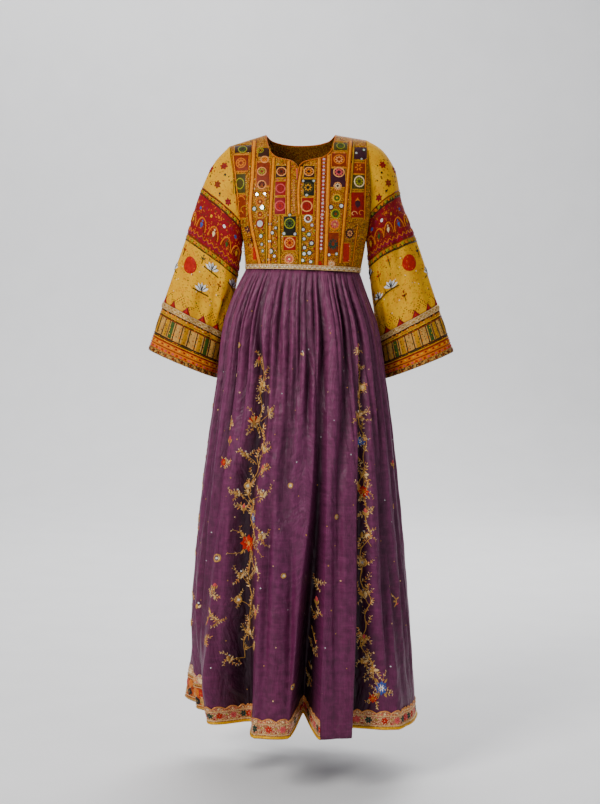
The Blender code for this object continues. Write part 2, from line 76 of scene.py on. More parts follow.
NECK_FRONT = (
    (-0.0834, 0.0), (-0.0822, -0.009), (-0.0785, -0.026), (-0.0720, -0.043),
    (-0.060, -0.0555),
    (-0.040, -0.0615), (-0.0240, -0.066), (-0.0165, -0.073), (-0.0120, -0.084),
    (-0.0092, -0.108), (-0.0064, -0.084), (-0.0010, -0.075), (0.0060, -0.069),
    (0.0180, -0.065), (0.0330, -0.0615), (0.0550, -0.0555), (0.0690, -0.043),
    (0.0765, -0.026), (0.0805, -0.009), (0.0818, 0.0))
SLIT_FOOT = 9
NECK_BACK = (
    (-0.0834, 0.0), (-0.072, -0.011), (-0.052, -0.018), (-0.025, -0.022),
    (0.0, -0.023), (0.025, -0.022), (0.052, -0.018), (0.071, -0.011), (0.0818, 0.0))
SLEEVE_OUTER = {
    -1: ((0.0, 0.094, 0.235, 0.448, 0.71, 1.0),
         (-0.1670, -0.2012, -0.2356, -0.2720, -0.3195, -0.3670),
         (-0.026, -0.0615, -0.1275, -0.233, -0.362, -0.507)),
    1: ((0.0, 0.074, 0.16, 0.322, 0.523, 0.714, 1.0),
        (0.1530, 0.1880, 0.2165, 0.2400, 0.2820, 0.3160, 0.3670),
        (-0.012, -0.033, -0.071, -0.158, -0.261, -0.362, -0.512))}
SLEEVE_INNER_SHARES = (0.0, 0.3, 0.6, 1.0)
SLEEVE_INNER = {
    -1: ((-0.136, -0.153, -0.174, -0.203), (-0.250, -0.350, -0.445, -0.576)),
    1: ((0.153, 0.165, 0.179, 0.199), (-0.250, -0.350, -0.445, -0.578))}
SLEEVE_BACKSET = (0.0035, 0.030, 0.060, 0.060)
SLEEVE_HALF_DEPTH = (0.0515, 0.058, 0.060, 0.056)
SLEEVE_HEAD = 0.25
SLEEVE_LENGTH = {-1: 0.525, 1: 0.555}
SLEEVE_HEAD_CUT = 0.150
SLEEVE_SKEW = {-1: 0.0, 1: 0.055}    # how much the upper bands rise at the inner edge
ELBOW_CREASE = dict(angle=100.0, reach=26.0, depth=0.010, middle=0.55, length=0.38)
SKIRT_SHARES = (0.0, 0.035, 0.10, 0.24, 0.50, 0.73, 1.0)
SKIRT_LEFT = (0.1303, 0.151, 0.179, 0.201, 0.240, 0.266, 0.292)
SKIRT_RIGHT = (0.1390, 0.152, 0.177, 0.203, 0.236, 0.258, 0.278)
SKIRT_FRONT = (0.1040, 0.121, 0.138, 0.153, 0.175, 0.194, 0.215)
SKIRT_BACK = (0.0880, 0.107, 0.131, 0.155, 0.185, 0.210, 0.240)
SKIRT_SQUARENESS = (2.0, 2.05, 2.15, 2.25, 2.3, 2.3, 2.3)
LEFT_SEAM = -84.0
RIGHT_SEAM = 98.0
BACK_SEAM = 187.0
FOLD_SHARES = (0.0, 0.12, 0.28, 0.50, 0.73, 1.0)
FRONT_FOLDS = {
    "side_left": ((-50, -50, -50, -52, -56, -62), (4, 4, 5, 6, 10, 18),
                  (4, 4, 5, 6, 8, 14), (0, 0.011, 0.012, 0.009, 0.010, 0.022), 1.0),
    "vine_valley": ((-32, -32, -27, -33, -32, -34), (4, 4, 7, 12, 15, 28),
                    (4, 4, 7, 11, 12, 13), (0, 0.014, 0.022, 0.036, 0.056, 0.125), 0.8),
    "small_left": ((-16, -16, -14, -13, -13, -13), (3, 4, 4, 4, 4, 4), (3, 4, 4, 4, 4, 4),
                   (0, 0.008, 0.007, 0.0, 0.0, 0.0), 1.0),
    "slant_one": ((1, 0, -4.5, -12, -14, -14), (4, 4.5, 6, 7, 7, 7), (4, 4.5, 6, 7, 7, 7),
                  (0, 0.008, 0.009, 0.005, 0.0, 0.0), 1.0),
    "slant_two": ((10, 9, 4, -1.5, -2, -2), (3, 3.5, 4, 5, 5, 5), (3, 3.5, 4, 5, 5, 5),
                  (0, 0.007, 0.006, 0.003, 0.0, 0.0), 1.0),
    "deep_centre": ((16, 16, 13, 10, 6, 1.5), (3, 3.5, 3.5, 4.5, 7, 7.5),
                    (3, 3.5, 3.5, 4, 5.5, 7.0), (0, 0.012, 0.015, 0.024, 0.055, 0.120), 0.45),
    "centre_seam": ((19.5, 19.5, 17, 14.5, 12, 9), (2, 2, 2, 2, 2, 2), (2, 2, 2, 2, 2, 2),
                    (0, 0.0005, 0.0005, 0.0005, 0.0005, 0.0), 1.0),
    "column": ((24, 24, 21, 18, 16, 14), (5, 5, 6, 7, 8, 8), (5, 5, 6, 7, 8, 8),
               (0, -0.004, -0.006, -0.006, -0.004, 0.0), 1.0),
    "column_dip": ((33, 33, 29, 20, 16, 15), (4, 4, 6, 6, 5, 4), (4, 4, 6, 6, 5, 4),
                   (0, 0.012, 0.013, 0.007, 0.005, 0.002), 1.0),
    "right_valley": ((46, 46, 42, 36, 34, 29), (3.5, 4, 4.5, 5, 6, 5), (3.5, 4, 5, 6, 9, 24),
                     (0, 0.012, 0.018, 0.026, 0.042, 0.075), 0.8),
    "side_right": ((58, 58, 57, 53, 56, 60), (4, 4, 5, 5, 6, 6), (4, 4, 5, 5, 6, 6),
                   (0, 0.006, 0.008, 0.009, 0.010, 0.002), 1.0),
    "seam_left": ((-84, -84, -84, -84, -84, -84), (8, 8, 8, 10, 16, 26),
                  (8, 8, 8, 10, 20, 37), (0, 0.004, 0.005, 0.010, 0.034, 0.104), 1.0),
    "left_lobe": ((-122, -122, -122, -122, -122, -122), (10, 10, 10, 13, 16, 20),
                  (10, 10, 10, 13, 16, 20), (0, 0, 0, -0.004, -0.018, -0.036), 1.0),
    "seam_right": ((98, 98, 98, 98, 98, 98), (8, 8, 8, 8, 10, 12), (8, 8, 8, 8, 10, 12),
                   (0, 0.003, 0.004, 0.007, 0.016, 0.036), 1.0)}
BACK_FOLDS = 6
BACK_FOLD_DEPTH = (0, 0.009, 0.014, 0.020, 0.032, 0.050)
BACK_FOLD_REACH = 11.0
BACK_FOLD_EASE = 0.3
HEM_ARCH_LIFT = 0.028
RIPPLE_DEPTH = 1.6
GATHER_PITCH = 5.6          # degrees
GATHER_SHARES = (0, 0.012, 0.05, 0.13, 0.26, 0.45)
GATHER_DEPTH = (0.0010, 0.0050, 0.0125, 0.0125, 0.0080, 0.0)
# Soft waves: angle at the waist, lean down the skirt, reach (degrees), the share where
# each is deepest, its length as a share, and its depth.
RIPPLES = (
    (-66, -2, 5, 0.35, 0.45, 0.005), (-40, 2, 4, 0.20, 0.25, 0.006),
    (-23, 3, 3, 0.22, 0.26, 0.006), (-7, -8, 3, 0.30, 0.35, 0.005),
    (-20, 2, 6, 0.75, 0.35, 0.006), (-8, 2, 5, 0.72, 0.45, 0.006),
    (6, -4, 2.5, 0.20, 0.30, 0.005), (21, -4, 3, 0.75, 0.40, 0.006),
    (38, -3, 3, 0.25, 0.30, 0.006), (50, -1, 4, 0.60, 0.50, 0.008),
    (66, 0, 5, 0.55, 0.55, 0.007), (79, 0, 6, 0.40, 0.45, 0.006),
    (-60, -3, 4, 0.62, 0.40, 0.006), (-44, -3, 3.5, 0.66, 0.34, 0.006),
    (-17, -1, 3.5, 0.62, 0.45, 0.006), (-3, -3, 3, 0.80, 0.35, 0.006),
    (24, -5, 2.5, 0.66, 0.40, 0.006), (44, 4, 3.5, 0.74, 0.30, 0.006),
    (72, 2, 4, 0.70, 0.40, 0.006),
    (112, 3, 6, 0.35, 0.40, 0.006), (137, -3, 6, 0.45, 0.45, 0.007),
    (162, 2, 6, 0.40, 0.40, 0.006), (188, 1, 6, 0.50, 0.45, 0.007),
    (213, -2, 6, 0.40, 0.40, 0.006), (238, 3, 6, 0.45, 0.45, 0.007),
    (258, -2, 5, 0.35, 0.40, 0.006))
TRACKS = ("side_left", "vine_valley", "deep_centre", "centre_seam", "right_valley",
          "side_right")
CROWDING = 0.6
CENTRE_SEAM_TRACK = 4
RIBBON_UP = (0.120, 0.107)
CUFF_BRAID_UP = 0.012
TRIM_HEIGHT = 0.046
BORDER_HEIGHT = 0.062
LACE_HEIGHT = 0.028
TRIM_START_RIGHT = 30.0
BRAID_HEIGHT = 0.010
TRIM_FOOT = 0.001
TRIM_SCALLOP = 0.007
LACE_SCALLOP = 0.008
TRIM_WALL = 0.0007
TRIM_LIFT = 0.0010          # how far the hem's trims stand off the skirt
BRAID_LIFT = 0.0011         # the same for ribbons and braids
LAID = 0.0003               # how far needlework stands off its cloth
EDGE_ROOM = 0.008           # cloth left free of needlework below a sleeve's armhole
SLEEVE_ROUND = 0.40         # metres round the cloth used by the sleeve's pattern
# Pulls in the bodice off each underarm: side and foot, then lean, reach and depth.
UNDERARMS = ((-1, -0.150), (1, 0.158))
UNDERARM_PULLS = ((0.55, 0.010, 0.0035), (0.95, 0.008, 0.0025))
# Creases of a sleeve: turn, lean, middle, length, depth and reach.
SLEEVE_CREASES = (
    (0.20, 0.22, 0.42, 0.40, 0.0065, 0.050), (0.33, 0.10, 0.55, 0.42, 0.006, 0.035),
    (0.40, -0.12, 0.50, 0.32, 0.005, 0.035), (0.10, 0.10, 0.72, 0.34, 0.004, 0.050),
    (0.26, 0.05, 0.86, 0.20, 0.004, 0.040), (-0.18, -0.16, 0.48, 0.42, 0.006, 0.050),
    (-0.34, -0.08, 0.66, 0.38, 0.005, 0.045))
# Fineness of the grids.
BODICE_ROWS = 84
SLEEVE_COLUMNS = 130
SLEEVE_ROWS = 90
SLEEVE_BORDER_ROWS = 32
SKIRT_ROWS = 115


# ---- forms ------------------------------------------------------------------
def smooth(x, knots, values):
    """A smooth curve through the given values, read at x."""
    knots = np.asarray(knots, float)
    values = np.asarray(values, float)
    x = np.clip(np.asarray(x, float), knots[0], knots[-1])
    span = np.diff(knots)
    slope = np.diff(values) / span
    middle = (slope[:-1] * span[1:] + slope[1:] * span[:-1]) / (span[1:] + span[:-1])
    tangent = np.concatenate((slope[:1], middle, slope[-1:]))
    k = np.clip(np.searchsorted(knots, x, side="right") - 1, 0, len(span) - 1)
    t = (x - knots[k]) / span[k]
    start = (1 + 2 * t) * (1 - t) ** 2 * values[k] + t * (1 - t) ** 2 * span[k] * tangent[k]
    end = t * t * (3 - 2 * t) * values[k + 1] + t * t * (t - 1) * span[k] * tangent[k + 1]
    return start + end


def hump(t):
    """1 at t = 0, falling softly to 0 at t = -1 and t = 1."""
    return 0.5 * (1 + np.cos(np.pi * np.clip(t, -1, 1)))


def share_across(x):
    """Place of x between the shoulder tips, from -1 to 1."""
    left, right = BODICE_LEFT[-1], BODICE_RIGHT[-1]
    return 2 * (np.asarray(x, float) - left) / (right - left) - 1


def shoulder_line(across):
    """Height of the shoulder seam."""
    neck_left, neck_right = share_across((NECK_FRONT[0][0], NECK_FRONT[-1][0]))
    left = np.interp(-across, (-neck_left, 1), (0.0, SHOULDER_DROP[0]))
    right = np.interp(across, (neck_right, 1), (0.0, SHOULDER_DROP[1]))
    return np.where(across < 0, left, right)


def bodice_edges(z):
    return smooth(z, BODICE_HEIGHTS, BODICE_LEFT), smooth(z, BODICE_HEIGHTS, BODICE_RIGHT)


def waist_height(across):
    """Height of the waist seam; across runs from -1 (left seam) to 1 (right seam)."""
    return WAIST_Z - WAIST_TILT * across


def waist_edge(across, front):
    rise = WAIST_RISE * np.sqrt(np.clip(1 - across ** 2, 0, 1))
    return waist_height(across) + (rise if front else -rise)


def armhole_depth(z, side, most):
    """How far the armhole seam stands from the body's middle plane, at height z."""
    top = SHOULDER_DROP[0 if side < 0 else 1]
    share = np.clip((top - z) / (top - UNDERARM_Z), 0, 1)
    return most * np.sqrt(1 - (1 - 2 * share) ** 2)


def bodice(x, z, front):
    """Point of the bodice at a place x, z of its front or back."""
    left, right = bodice_edges(z)
    across = np.clip(2 * (x - left) / (right - left) - 1, -1, 1)
    middle = smooth(z, CHEST_HEIGHTS, CHEST_DEPTH if front else BACK_DEPTH)
    turn = np.clip((shoulder_line(across) - z) / SHOULDER_ROUND, 0, 1)
    middle = middle * np.sqrt(1 - (1 - turn) ** 2)
    power = smooth(z, ROUNDNESS_HEIGHTS, ROUNDNESS)
    round_off = np.sqrt(np.clip(1 - np.abs(across) ** power, 0, 1))
    most = ARMHOLE_FRONT if front else ARMHOLE_BACK
    edge = np.where(across < 0, armhole_depth(z, -1, most), armhole_depth(z, 1, most))
    depth = SEAM / 2 + middle * round_off + edge * (1 - round_off)
    depth = depth - bodice_creases(x, z, front) * np.clip(round_off * 3, 0, 1)
    return np.stack((x, -depth if front else depth, z), -1)


def bodice_creases(x, z, front):
    """Soft pulls in the bodice cloth: off the underarms, and drawn in at the waist."""
    low = np.clip((z - WAIST_Z) / 0.11, 0, 1)
    darts = 0.0016 * np.cos(x / 0.0105 + 2.0 * np.sin(x / 0.05)) * (1 - low) ** 1.5
    total = darts * (1 if front else 0.8)
    for side, foot in UNDERARMS:
        for lean, reach, depth in UNDERARM_PULLS:
            off = (x - foot) * side * -1
            line = z + 0.215 - 0.02 * lean + off * lean
            total = total + depth * hump(line / reach) * hump(off / 0.085)
    return total


def sleeve(side, turn, down):
    """Point of a sleeve. turn: 0 at the outer edge, 0.25 at the front, 0.5 at the inner
    edge; down: 0 at the armhole and 1 at the cuff."""
    shares, xs, zs = SLEEVE_OUTER[side]
    outer = np.stack((smooth(down, shares, xs), smooth(down, shares, zs)), -1)
    xs, zs = SLEEVE_INNER[side]
    inner = np.stack((smooth(down, SLEEVE_INNER_SHARES, xs),
                      smooth(down, SLEEVE_INNER_SHARES, zs)), -1)
    angle = 2 * np.pi * turn
    crease = ELBOW_CREASE
    off = (np.degrees(angle) + 180) % 360 - 180 - crease["angle"]
    pinch = crease["depth"] * hump(off / crease["reach"])
    pinch = pinch * hump((down - crease["middle"]) / crease["length"])
    pinch = pinch + sleeve_creases(side, turn, down)
    half = (outer - inner) / 2
    shrink = 1 - pinch / np.linalg.norm(half, axis=-1)
    flat = (outer + inner) / 2 + half * (np.cos(angle) * shrink)[..., None]
    head = np.clip(1 - down / SLEEVE_HEAD, 0, 1)
    deep = smooth(down, SLEEVE_INNER_SHARES, SLEEVE_HALF_DEPTH)
    armhole = np.where(np.sin(angle) > 0, ARMHOLE_FRONT, ARMHOLE_BACK)
    back = smooth(down, SLEEVE_INNER_SHARES, SLEEVE_BACKSET)
    deep = deep * (1 - head) + armhole * head
    y = back * (1 - head) - (deep - pinch) * np.sin(angle)
    # The sleeve's head follows the bodice's armhole seam.
    x0 = (SLEEVE_OUTER[side][1][0] * (1 + np.cos(angle)) + xs[0] * (1 - np.cos(angle))) / 2
    z0 = (SLEEVE_OUTER[side][2][0] * (1 + np.cos(angle)) + zs[0] * (1 - np.cos(angle))) / 2
    bulge = bodice_edges(z0)[0 if side < 0 else 1] - x0
    x = flat[..., 0] + bulge * head + side * SEAM_SLEEVE
    return np.stack((x, y, flat[..., 1]), -1)


def sleeve_creases(side, turn, down):
    """Soft folds that hang from the shoulder and cross the elbow, inwards in metres."""
    total = 0.0 * turn * down
    around = (turn + 0.5) % 1 - 0.5
    for centre, lean, middle, length, depth, reach in SLEEVE_CREASES:
        off = around - centre - lean * (down - middle) * (1 if side < 0 else 0.8)
        off = (off + 0.5) % 1 - 0.5
        total = total + depth * hump(off / reach) * hump((down - middle) / length)
    return total


def sleeve_place(side, turn, up):
    """Share of the way down where a sleeve's cloth is a length up from its cuff."""
    rise = (1 - np.cos(2 * np.pi * turn)) / 2
    length = SLEEVE_LENGTH[side]
    place = length - np.asarray(up, float)
    skew = SLEEVE_SKEW[side] * rise * np.clip((0.42 - place) / 0.15, 0, 1)
    head = SLEEVE_HEAD_CUT * rise
    return np.clip((place - skew - head) / (length - head), 0, 1)


def sleeve_top(side, turn):
    """Length of a sleeve's cloth from the cuff to the armhole."""
    rise = (1 - np.cos(2 * np.pi * turn)) / 2
    return SLEEVE_LENGTH[side] - (SLEEVE_HEAD_CUT + SLEEVE_SKEW[side]) * rise


def fold_depth(angle, share):
    """How far the skirt lies inside its plain ring, at an angle in degrees."""
    total = np.zeros_like(angle)
    for centre, left, right, depth, blunt in FRONT_FOLDS.values():
        off = angle - smooth(share, FOLD_SHARES, centre)
        off = (off + 180) % 360 - 180
        reach = np.where(off < 0, smooth(share, FOLD_SHARES, left),
                         smooth(share, FOLD_SHARES, right))
        total += smooth(share, FOLD_SHARES, depth) * hump(off / reach) ** blunt
    pitch = (360 + LEFT_SEAM - RIGHT_SEAM) / (BACK_FOLDS + 1)
    for k in range(1, BACK_FOLDS + 1):
        off = (angle - RIGHT_SEAM - k * pitch + 180) % 360 - 180
        depth = smooth(share, FOLD_SHARES, BACK_FOLD_DEPTH) * (1 - BACK_FOLD_EASE * (k % 2))
        total += depth * hump(off / BACK_FOLD_REACH)
    return total + gathers(angle, share) + ripples(angle, share)


def gathers(angle, share):
    """The small gathers that the waist seam draws into the cloth."""
    wander = 1.5 * np.sin(np.radians(angle * 9 + 20)) + 1.1 * np.sin(np.radians(angle * 23 + 80))
    wander = wander + 3.0 * share * np.sin(np.radians(angle * 13))
    phase = (angle + wander) * np.pi / GATHER_PITCH
    valley = (1 - np.abs(np.sin(phase))) ** 1.7
    uneven = 0.6 + 0.4 * np.sin(np.radians(angle * 11 + 50)) * np.sin(np.radians(angle * 4))
    depth = np.interp(share, GATHER_SHARES, GATHER_DEPTH)
    return depth * valley * uneven


def ripples(angle, share):
    """Long soft waves between the main folds, and crumples slanting across them."""
    total = 0.0 * angle * share
    for centre, lean, reach, start, length, depth in RIPPLES:
        off = angle - centre - lean * share
        off = (off + 180) % 360 - 180
        total = total + RIPPLE_DEPTH * depth * hump(off / reach) * hump(
            (share - start) / length)
    slant = np.sin(angle / 2.3 + share * 46) * np.sin(angle / 5.1 - share * 31 + 1.0)
    return total + 0.0009 * slant * np.clip(share / 0.3 - 0.3, 0, 1)


def skirt(angle, share):
    """Point of the skirt. angle: degrees round from the front, + to the right;
    share: 0 at the waist seam and 1 at the hem."""
    sine = np.sin(np.radians(angle))
    cosine = np.cos(np.radians(angle))
    wide = np.where(sine < 0, smooth(share, SKIRT_SHARES, SKIRT_LEFT),
                    smooth(share, SKIRT_SHARES, SKIRT_RIGHT))
    deep = np.where(cosine > 0, smooth(share, SKIRT_SHARES, SKIRT_FRONT),
                    smooth(share, SKIRT_SHARES, SKIRT_BACK))
    power = smooth(share, SKIRT_SHARES, SKIRT_SQUARENESS)
    swell = (np.abs(sine) ** power + np.abs(cosine) ** power) ** (-1 / power)
    drift = (BODICE_LEFT[0] + BODICE_RIGHT[0]) / 2 * np.clip(1 - share / 0.05, 0, 1)
    x = wide * swell * sine + drift * (1 - np.abs(sine))
    y = -deep * swell * cosine
    normal = np.stack((sine / wide, -cosine / deep), -1)
    normal /= np.linalg.norm(normal, axis=-1)[..., None]
    inward = fold_depth(angle, share)
    x = x - normal[..., 0] * inward
    y = y - normal[..., 1] * inward
    centre, left = FRONT_FOLDS["deep_centre"][:2]
    arch = hump((angle - centre[-1]) / left[-1])
    waist = waist_height(sine) + WAIST_RISE * cosine - SEAM_WAIST
    hem = HEM_Z + HEM_ARCH_LIFT * arch
    return np.stack((x, y, waist + (hem - waist) * share), -1)


def follow(column, share):
    """Angle of a column of the front panels, which keeps to the folds beside it."""
    ends = [LEFT_SEAM] + [smooth(share, FOLD_SHARES, FRONT_FOLDS[t][0]) for t in TRACKS]
    ends = np.array([e + 0 * share for e in ends + [RIGHT_SEAM]])
    k = np.clip(np.floor(column).astype(int), 0, len(ends) - 2)
    t = column - k
    t = t - CROWDING * np.sin(2 * np.pi * t) / (2 * np.pi)
    low = np.take_along_axis(ends, k[None], 0)[0]
    high = np.take_along_axis(ends, k[None] + 1, 0)[0]
    return low + (high - low) * t


# ---- cloths -----------------------------------------------------------------
class Cloth:
    """A worn cloth: the point of each place on it, which way is out, and its scale."""

    def __init__(self, surface, spans, sign):
        self.surface = surface
        self.sign = sign
        self.spans = spans
        self.steps = [1e-4 * (high - low) for low, high in spans]
        a, d = np.meshgrid(*(np.linspace(low, high, SCALE_POINTS) for low, high in spans))
        along, down = self.slopes(a, d)
        self.scales = np.linalg.norm(along, axis=-1), np.linalg.norm(down, axis=-1)

    def at(self, a, d):
        """Points at places a, d."""
        return self.surface(a, d) + np.array((0, 0, NECK_POINT_Z))

    def slopes(self, a, d):
        step_a, step_d = self.steps
        low, high = self.spans[1]
        after, before = np.minimum(d + step_d, high), np.maximum(d - step_d, low)
        along = self.surface(a + step_a, d) - self.surface(a - step_a, d)
        down = self.surface(a, after) - self.surface(a, before)
        return along / (2 * step_a), down / (after - before)[..., None]

    def out(self, a, d):
        """Unit vectors that point out of the garment."""
        along, down = self.slopes(a, d)
        normal = np.cross(down, along) * self.sign
        return normal / np.maximum(np.linalg.norm(normal, axis=-1), 1e-12)[..., None]

    def scale(self, a, d):
        """Metres of cloth for a unit step along a and along d, at one place."""
        place = [np.clip((v - low) / (high - low), 0, 1) * (SCALE_POINTS - 1)
                 for v, (low, high) in zip((a, d), self.spans)]
        column, row = int(place[0]), int(place[1])
        return [max(float(table[row, column]), 1e-4) for table in self.scales]


SCALE_POINTS = 240
# Places on the bodice are x, z; on a sleeve its turn and metres up from the cuff; on the
# skirt degrees round and the share of the way down.
FRONT = Cloth(lambda x, z: bodice(x, z, True), ((-0.17, 0.17), (-0.325, 0.0)), -1)
BACK = Cloth(lambda x, z: bodice(x, z, False), ((-0.17, 0.17), (-0.325, 0.0)), 1)
SLEEVES = {side: Cloth(lambda t, up, side=side: sleeve(side, t, sleeve_place(side, t, up)),
                       ((0.0, 1.0), (0.0, SLEEVE_LENGTH[side])), side)
           for side in (-1, 1)}
SKIRT = Cloth(skirt, ((LEFT_SEAM, 360 + LEFT_SEAM), (0.0, 1.0)), 1)
UPWARD = (FRONT, BACK, *SLEEVES.values())   # cloths whose second place grows upwards


# ---- making meshes ----------------------------------------------------------
def link_mesh(bm, name, material):
    """Turn a bmesh into a smooth object."""
    mesh = bpy.data.meshes.new(name)
    bm.to_mesh(mesh)
    bm.free()
    mesh.shade_smooth()
    mesh.materials.append(material)
    obj = bpy.data.objects.new(name, mesh)
    bpy.context.scene.collection.objects.link(obj)
    return obj


def finish_piece(bm, name, material, replaced=()):
    """Turn a bmesh into a smooth piece that rides with the dress."""
    obj = link_mesh(bm, name, material)
    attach(obj, "root")
    if replaced:
        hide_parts(*replaced)
    return obj


def flat_grid(columns, rows):
    """A flat grid, and each vertex's column and row as shares from 0 to 1."""
    bm = bmesh.new()
    bmesh.ops.create_grid(bm, x_segments=columns, y_segments=rows, size=0.5)
    places = np.array([v.co[:2] for v in bm.verts])
    return bm, places[:, 0] + 0.5, 0.5 - places[:, 1]


def set_points(bm, points):
    for vert, point in zip(bm.verts, points):
        vert.co = point


def face_out(bm, cloth, places):
    """Turn the faces outwards if they were made facing in."""
    bm.normal_update()
    bm.verts.ensure_lookup_table()
    some = range(0, len(bm.verts), max(1, len(bm.verts) // 400))
    out = cloth.out(*(np.array([p[i] for i in some]) for p in places))
    normals = np.array([bm.verts[i].normal for i in some])
    if np.sum(out * normals) < 0:
        bmesh.ops.reverse_faces(bm, faces=bm.faces[:])


def cloth_piece(name, cloth, place, columns, rows, material, replaced, wall=0.0,
                lift=0.0, measure=None, closed=False, painted_fold_shade=None):
    """A fine grid laid on a cloth. place(c, r) gives the cloth's place for the shares c
    across and r down; measure(a, d) gives the metres used by the pattern."""
    bm, c, r = flat_grid(columns, rows)
    a, d = place(c, r)
    points = cloth.at(a, d)
    if lift:
        points = points + cloth.out(a, d) * np.reshape(lift, (-1, 1))
    set_points(bm, points)
    face_out(bm, cloth, (a, d))
    u, v = measure(a, d) if measure else (a, d)
    layer = bm.loops.layers.uv.new("cloth")
    bm.verts.index_update()
    for face in bm.faces:
        for loop in face.loops:
            k = loop.vert.index
            loop[layer].uv = (u[k], v[k])
    # Painted shade: a value per vertex of how deep in the skirt's folds it lies, which darkens
    # the silk's colour there.
    if painted_fold_shade:
        depth = bm.verts.layers.float.new("painted_fold_shade")
        for vert, value in zip(bm.verts, painted_fold_shade(a, d)):
            vert[depth] = value
    if closed:
        bmesh.ops.remove_doubles(bm, verts=bm.verts[:], dist=1e-5)
    obj = finish_piece(bm, name, material, replaced)
    if wall:
        shell = obj.modifiers.new("wall", "SOLIDIFY")
        shell.thickness = wall
        shell.offset = -1


def motif_disc(sides, flat=0.55):
    """A padded disc of radius 1: its rim lies on the cloth, its top is 1 high."""
    bm = bmesh.new()
    bmesh.ops.create_circle(bm, cap_ends=True, radius=1.0, segments=sides)
    bmesh.ops.inset_region(bm, faces=bm.faces[:], thickness=1 - flat, depth=0)
    for vert in bm.verts:
        if vert.co.length < 0.5 + flat / 2:
            vert.co.z = 1.0
    return keep_motif(bm)


def motif_ring(sides, inner):
    """A stitched ring of radius 1, rounded across."""
    bm = bmesh.new()
    middle = (1 + inner) / 2
    profile = [bm.verts.new((x, 0, h)) for x, h in ((1, 0), (middle, 1), (inner, 0))]
    edges = [bm.edges.new(pair) for pair in zip(profile, profile[1:])]
    bmesh.ops.spin(bm, geom=profile + edges, cent=(0, 0, 0), axis=(0, 0, 1),
                   angle=2 * math.pi, steps=sides, use_merge=True)
    return keep_motif(bm)


def motif_leaf():
    """A pointed leaf 2 long and 2 wide at its middle, along y, with a raised rib."""
    bm = bmesh.new()
    bmesh.ops.create_grid(bm, x_segments=2, y_segments=3, size=1.0)
    for vert in bm.verts:
        x, y = vert.co.x, vert.co.y
        vert.co.x = x * (1 - y * y) ** 0.8
        vert.co.z = (1 - abs(x)) * (1 - y ** 4)
    bmesh.ops.remove_doubles(bm, verts=bm.verts[:], dist=1e-4)
    return keep_motif(bm)


def motif_padded(cells, shape):
    """A padded shape 2 wide, its rim on the cloth; shape(x, y) moves a square's places."""
    bm = bmesh.new()
    bmesh.ops.create_grid(bm, x_segments=cells, y_segments=cells, size=1.0)
    for vert in bm.verts:
        x, y = vert.co.x, vert.co.y
        vert.co = (*shape(x, y), 0.0 if max(abs(x), abs(y)) > 0.999 else 1.0)
    bmesh.ops.remove_doubles(bm, verts=bm.verts[:], dist=1e-4)
    return keep_motif(bm)


def keep_motif(bm):
    mesh = bpy.data.meshes.new("motif")
    bmesh.ops.recalc_face_normals(bm, faces=bm.faces[:])
    if sum(f.normal.z for f in bm.faces) < 0:
        bmesh.ops.reverse_faces(bm, faces=bm.faces[:])
    bm.to_mesh(mesh)
    bm.free()
    return mesh


# Flat shapes of the needlework. A round shape of many faces lies well on a curved cloth.
DISC = motif_disc(12)
DOT = motif_disc(7, 0.5)
MIRROR = motif_disc(10, 0.82)
RING = motif_ring(16, 0.70)
WIDE_RING = motif_ring(16, 0.52)
LEAF = motif_leaf()
PATCH = motif_padded(8, lambda x, y: (x, y))
SMALL_PATCH = motif_padded(3, lambda x, y: (x, y))
TRIANGLE = motif_padded(4, lambda x, y: (x * (1 - y) / 2, y))
ROUND = motif_padded(8, lambda x, y: (x * math.sqrt(1 - y * y / 2),
                                      y * math.sqrt(1 - x * x / 2)))


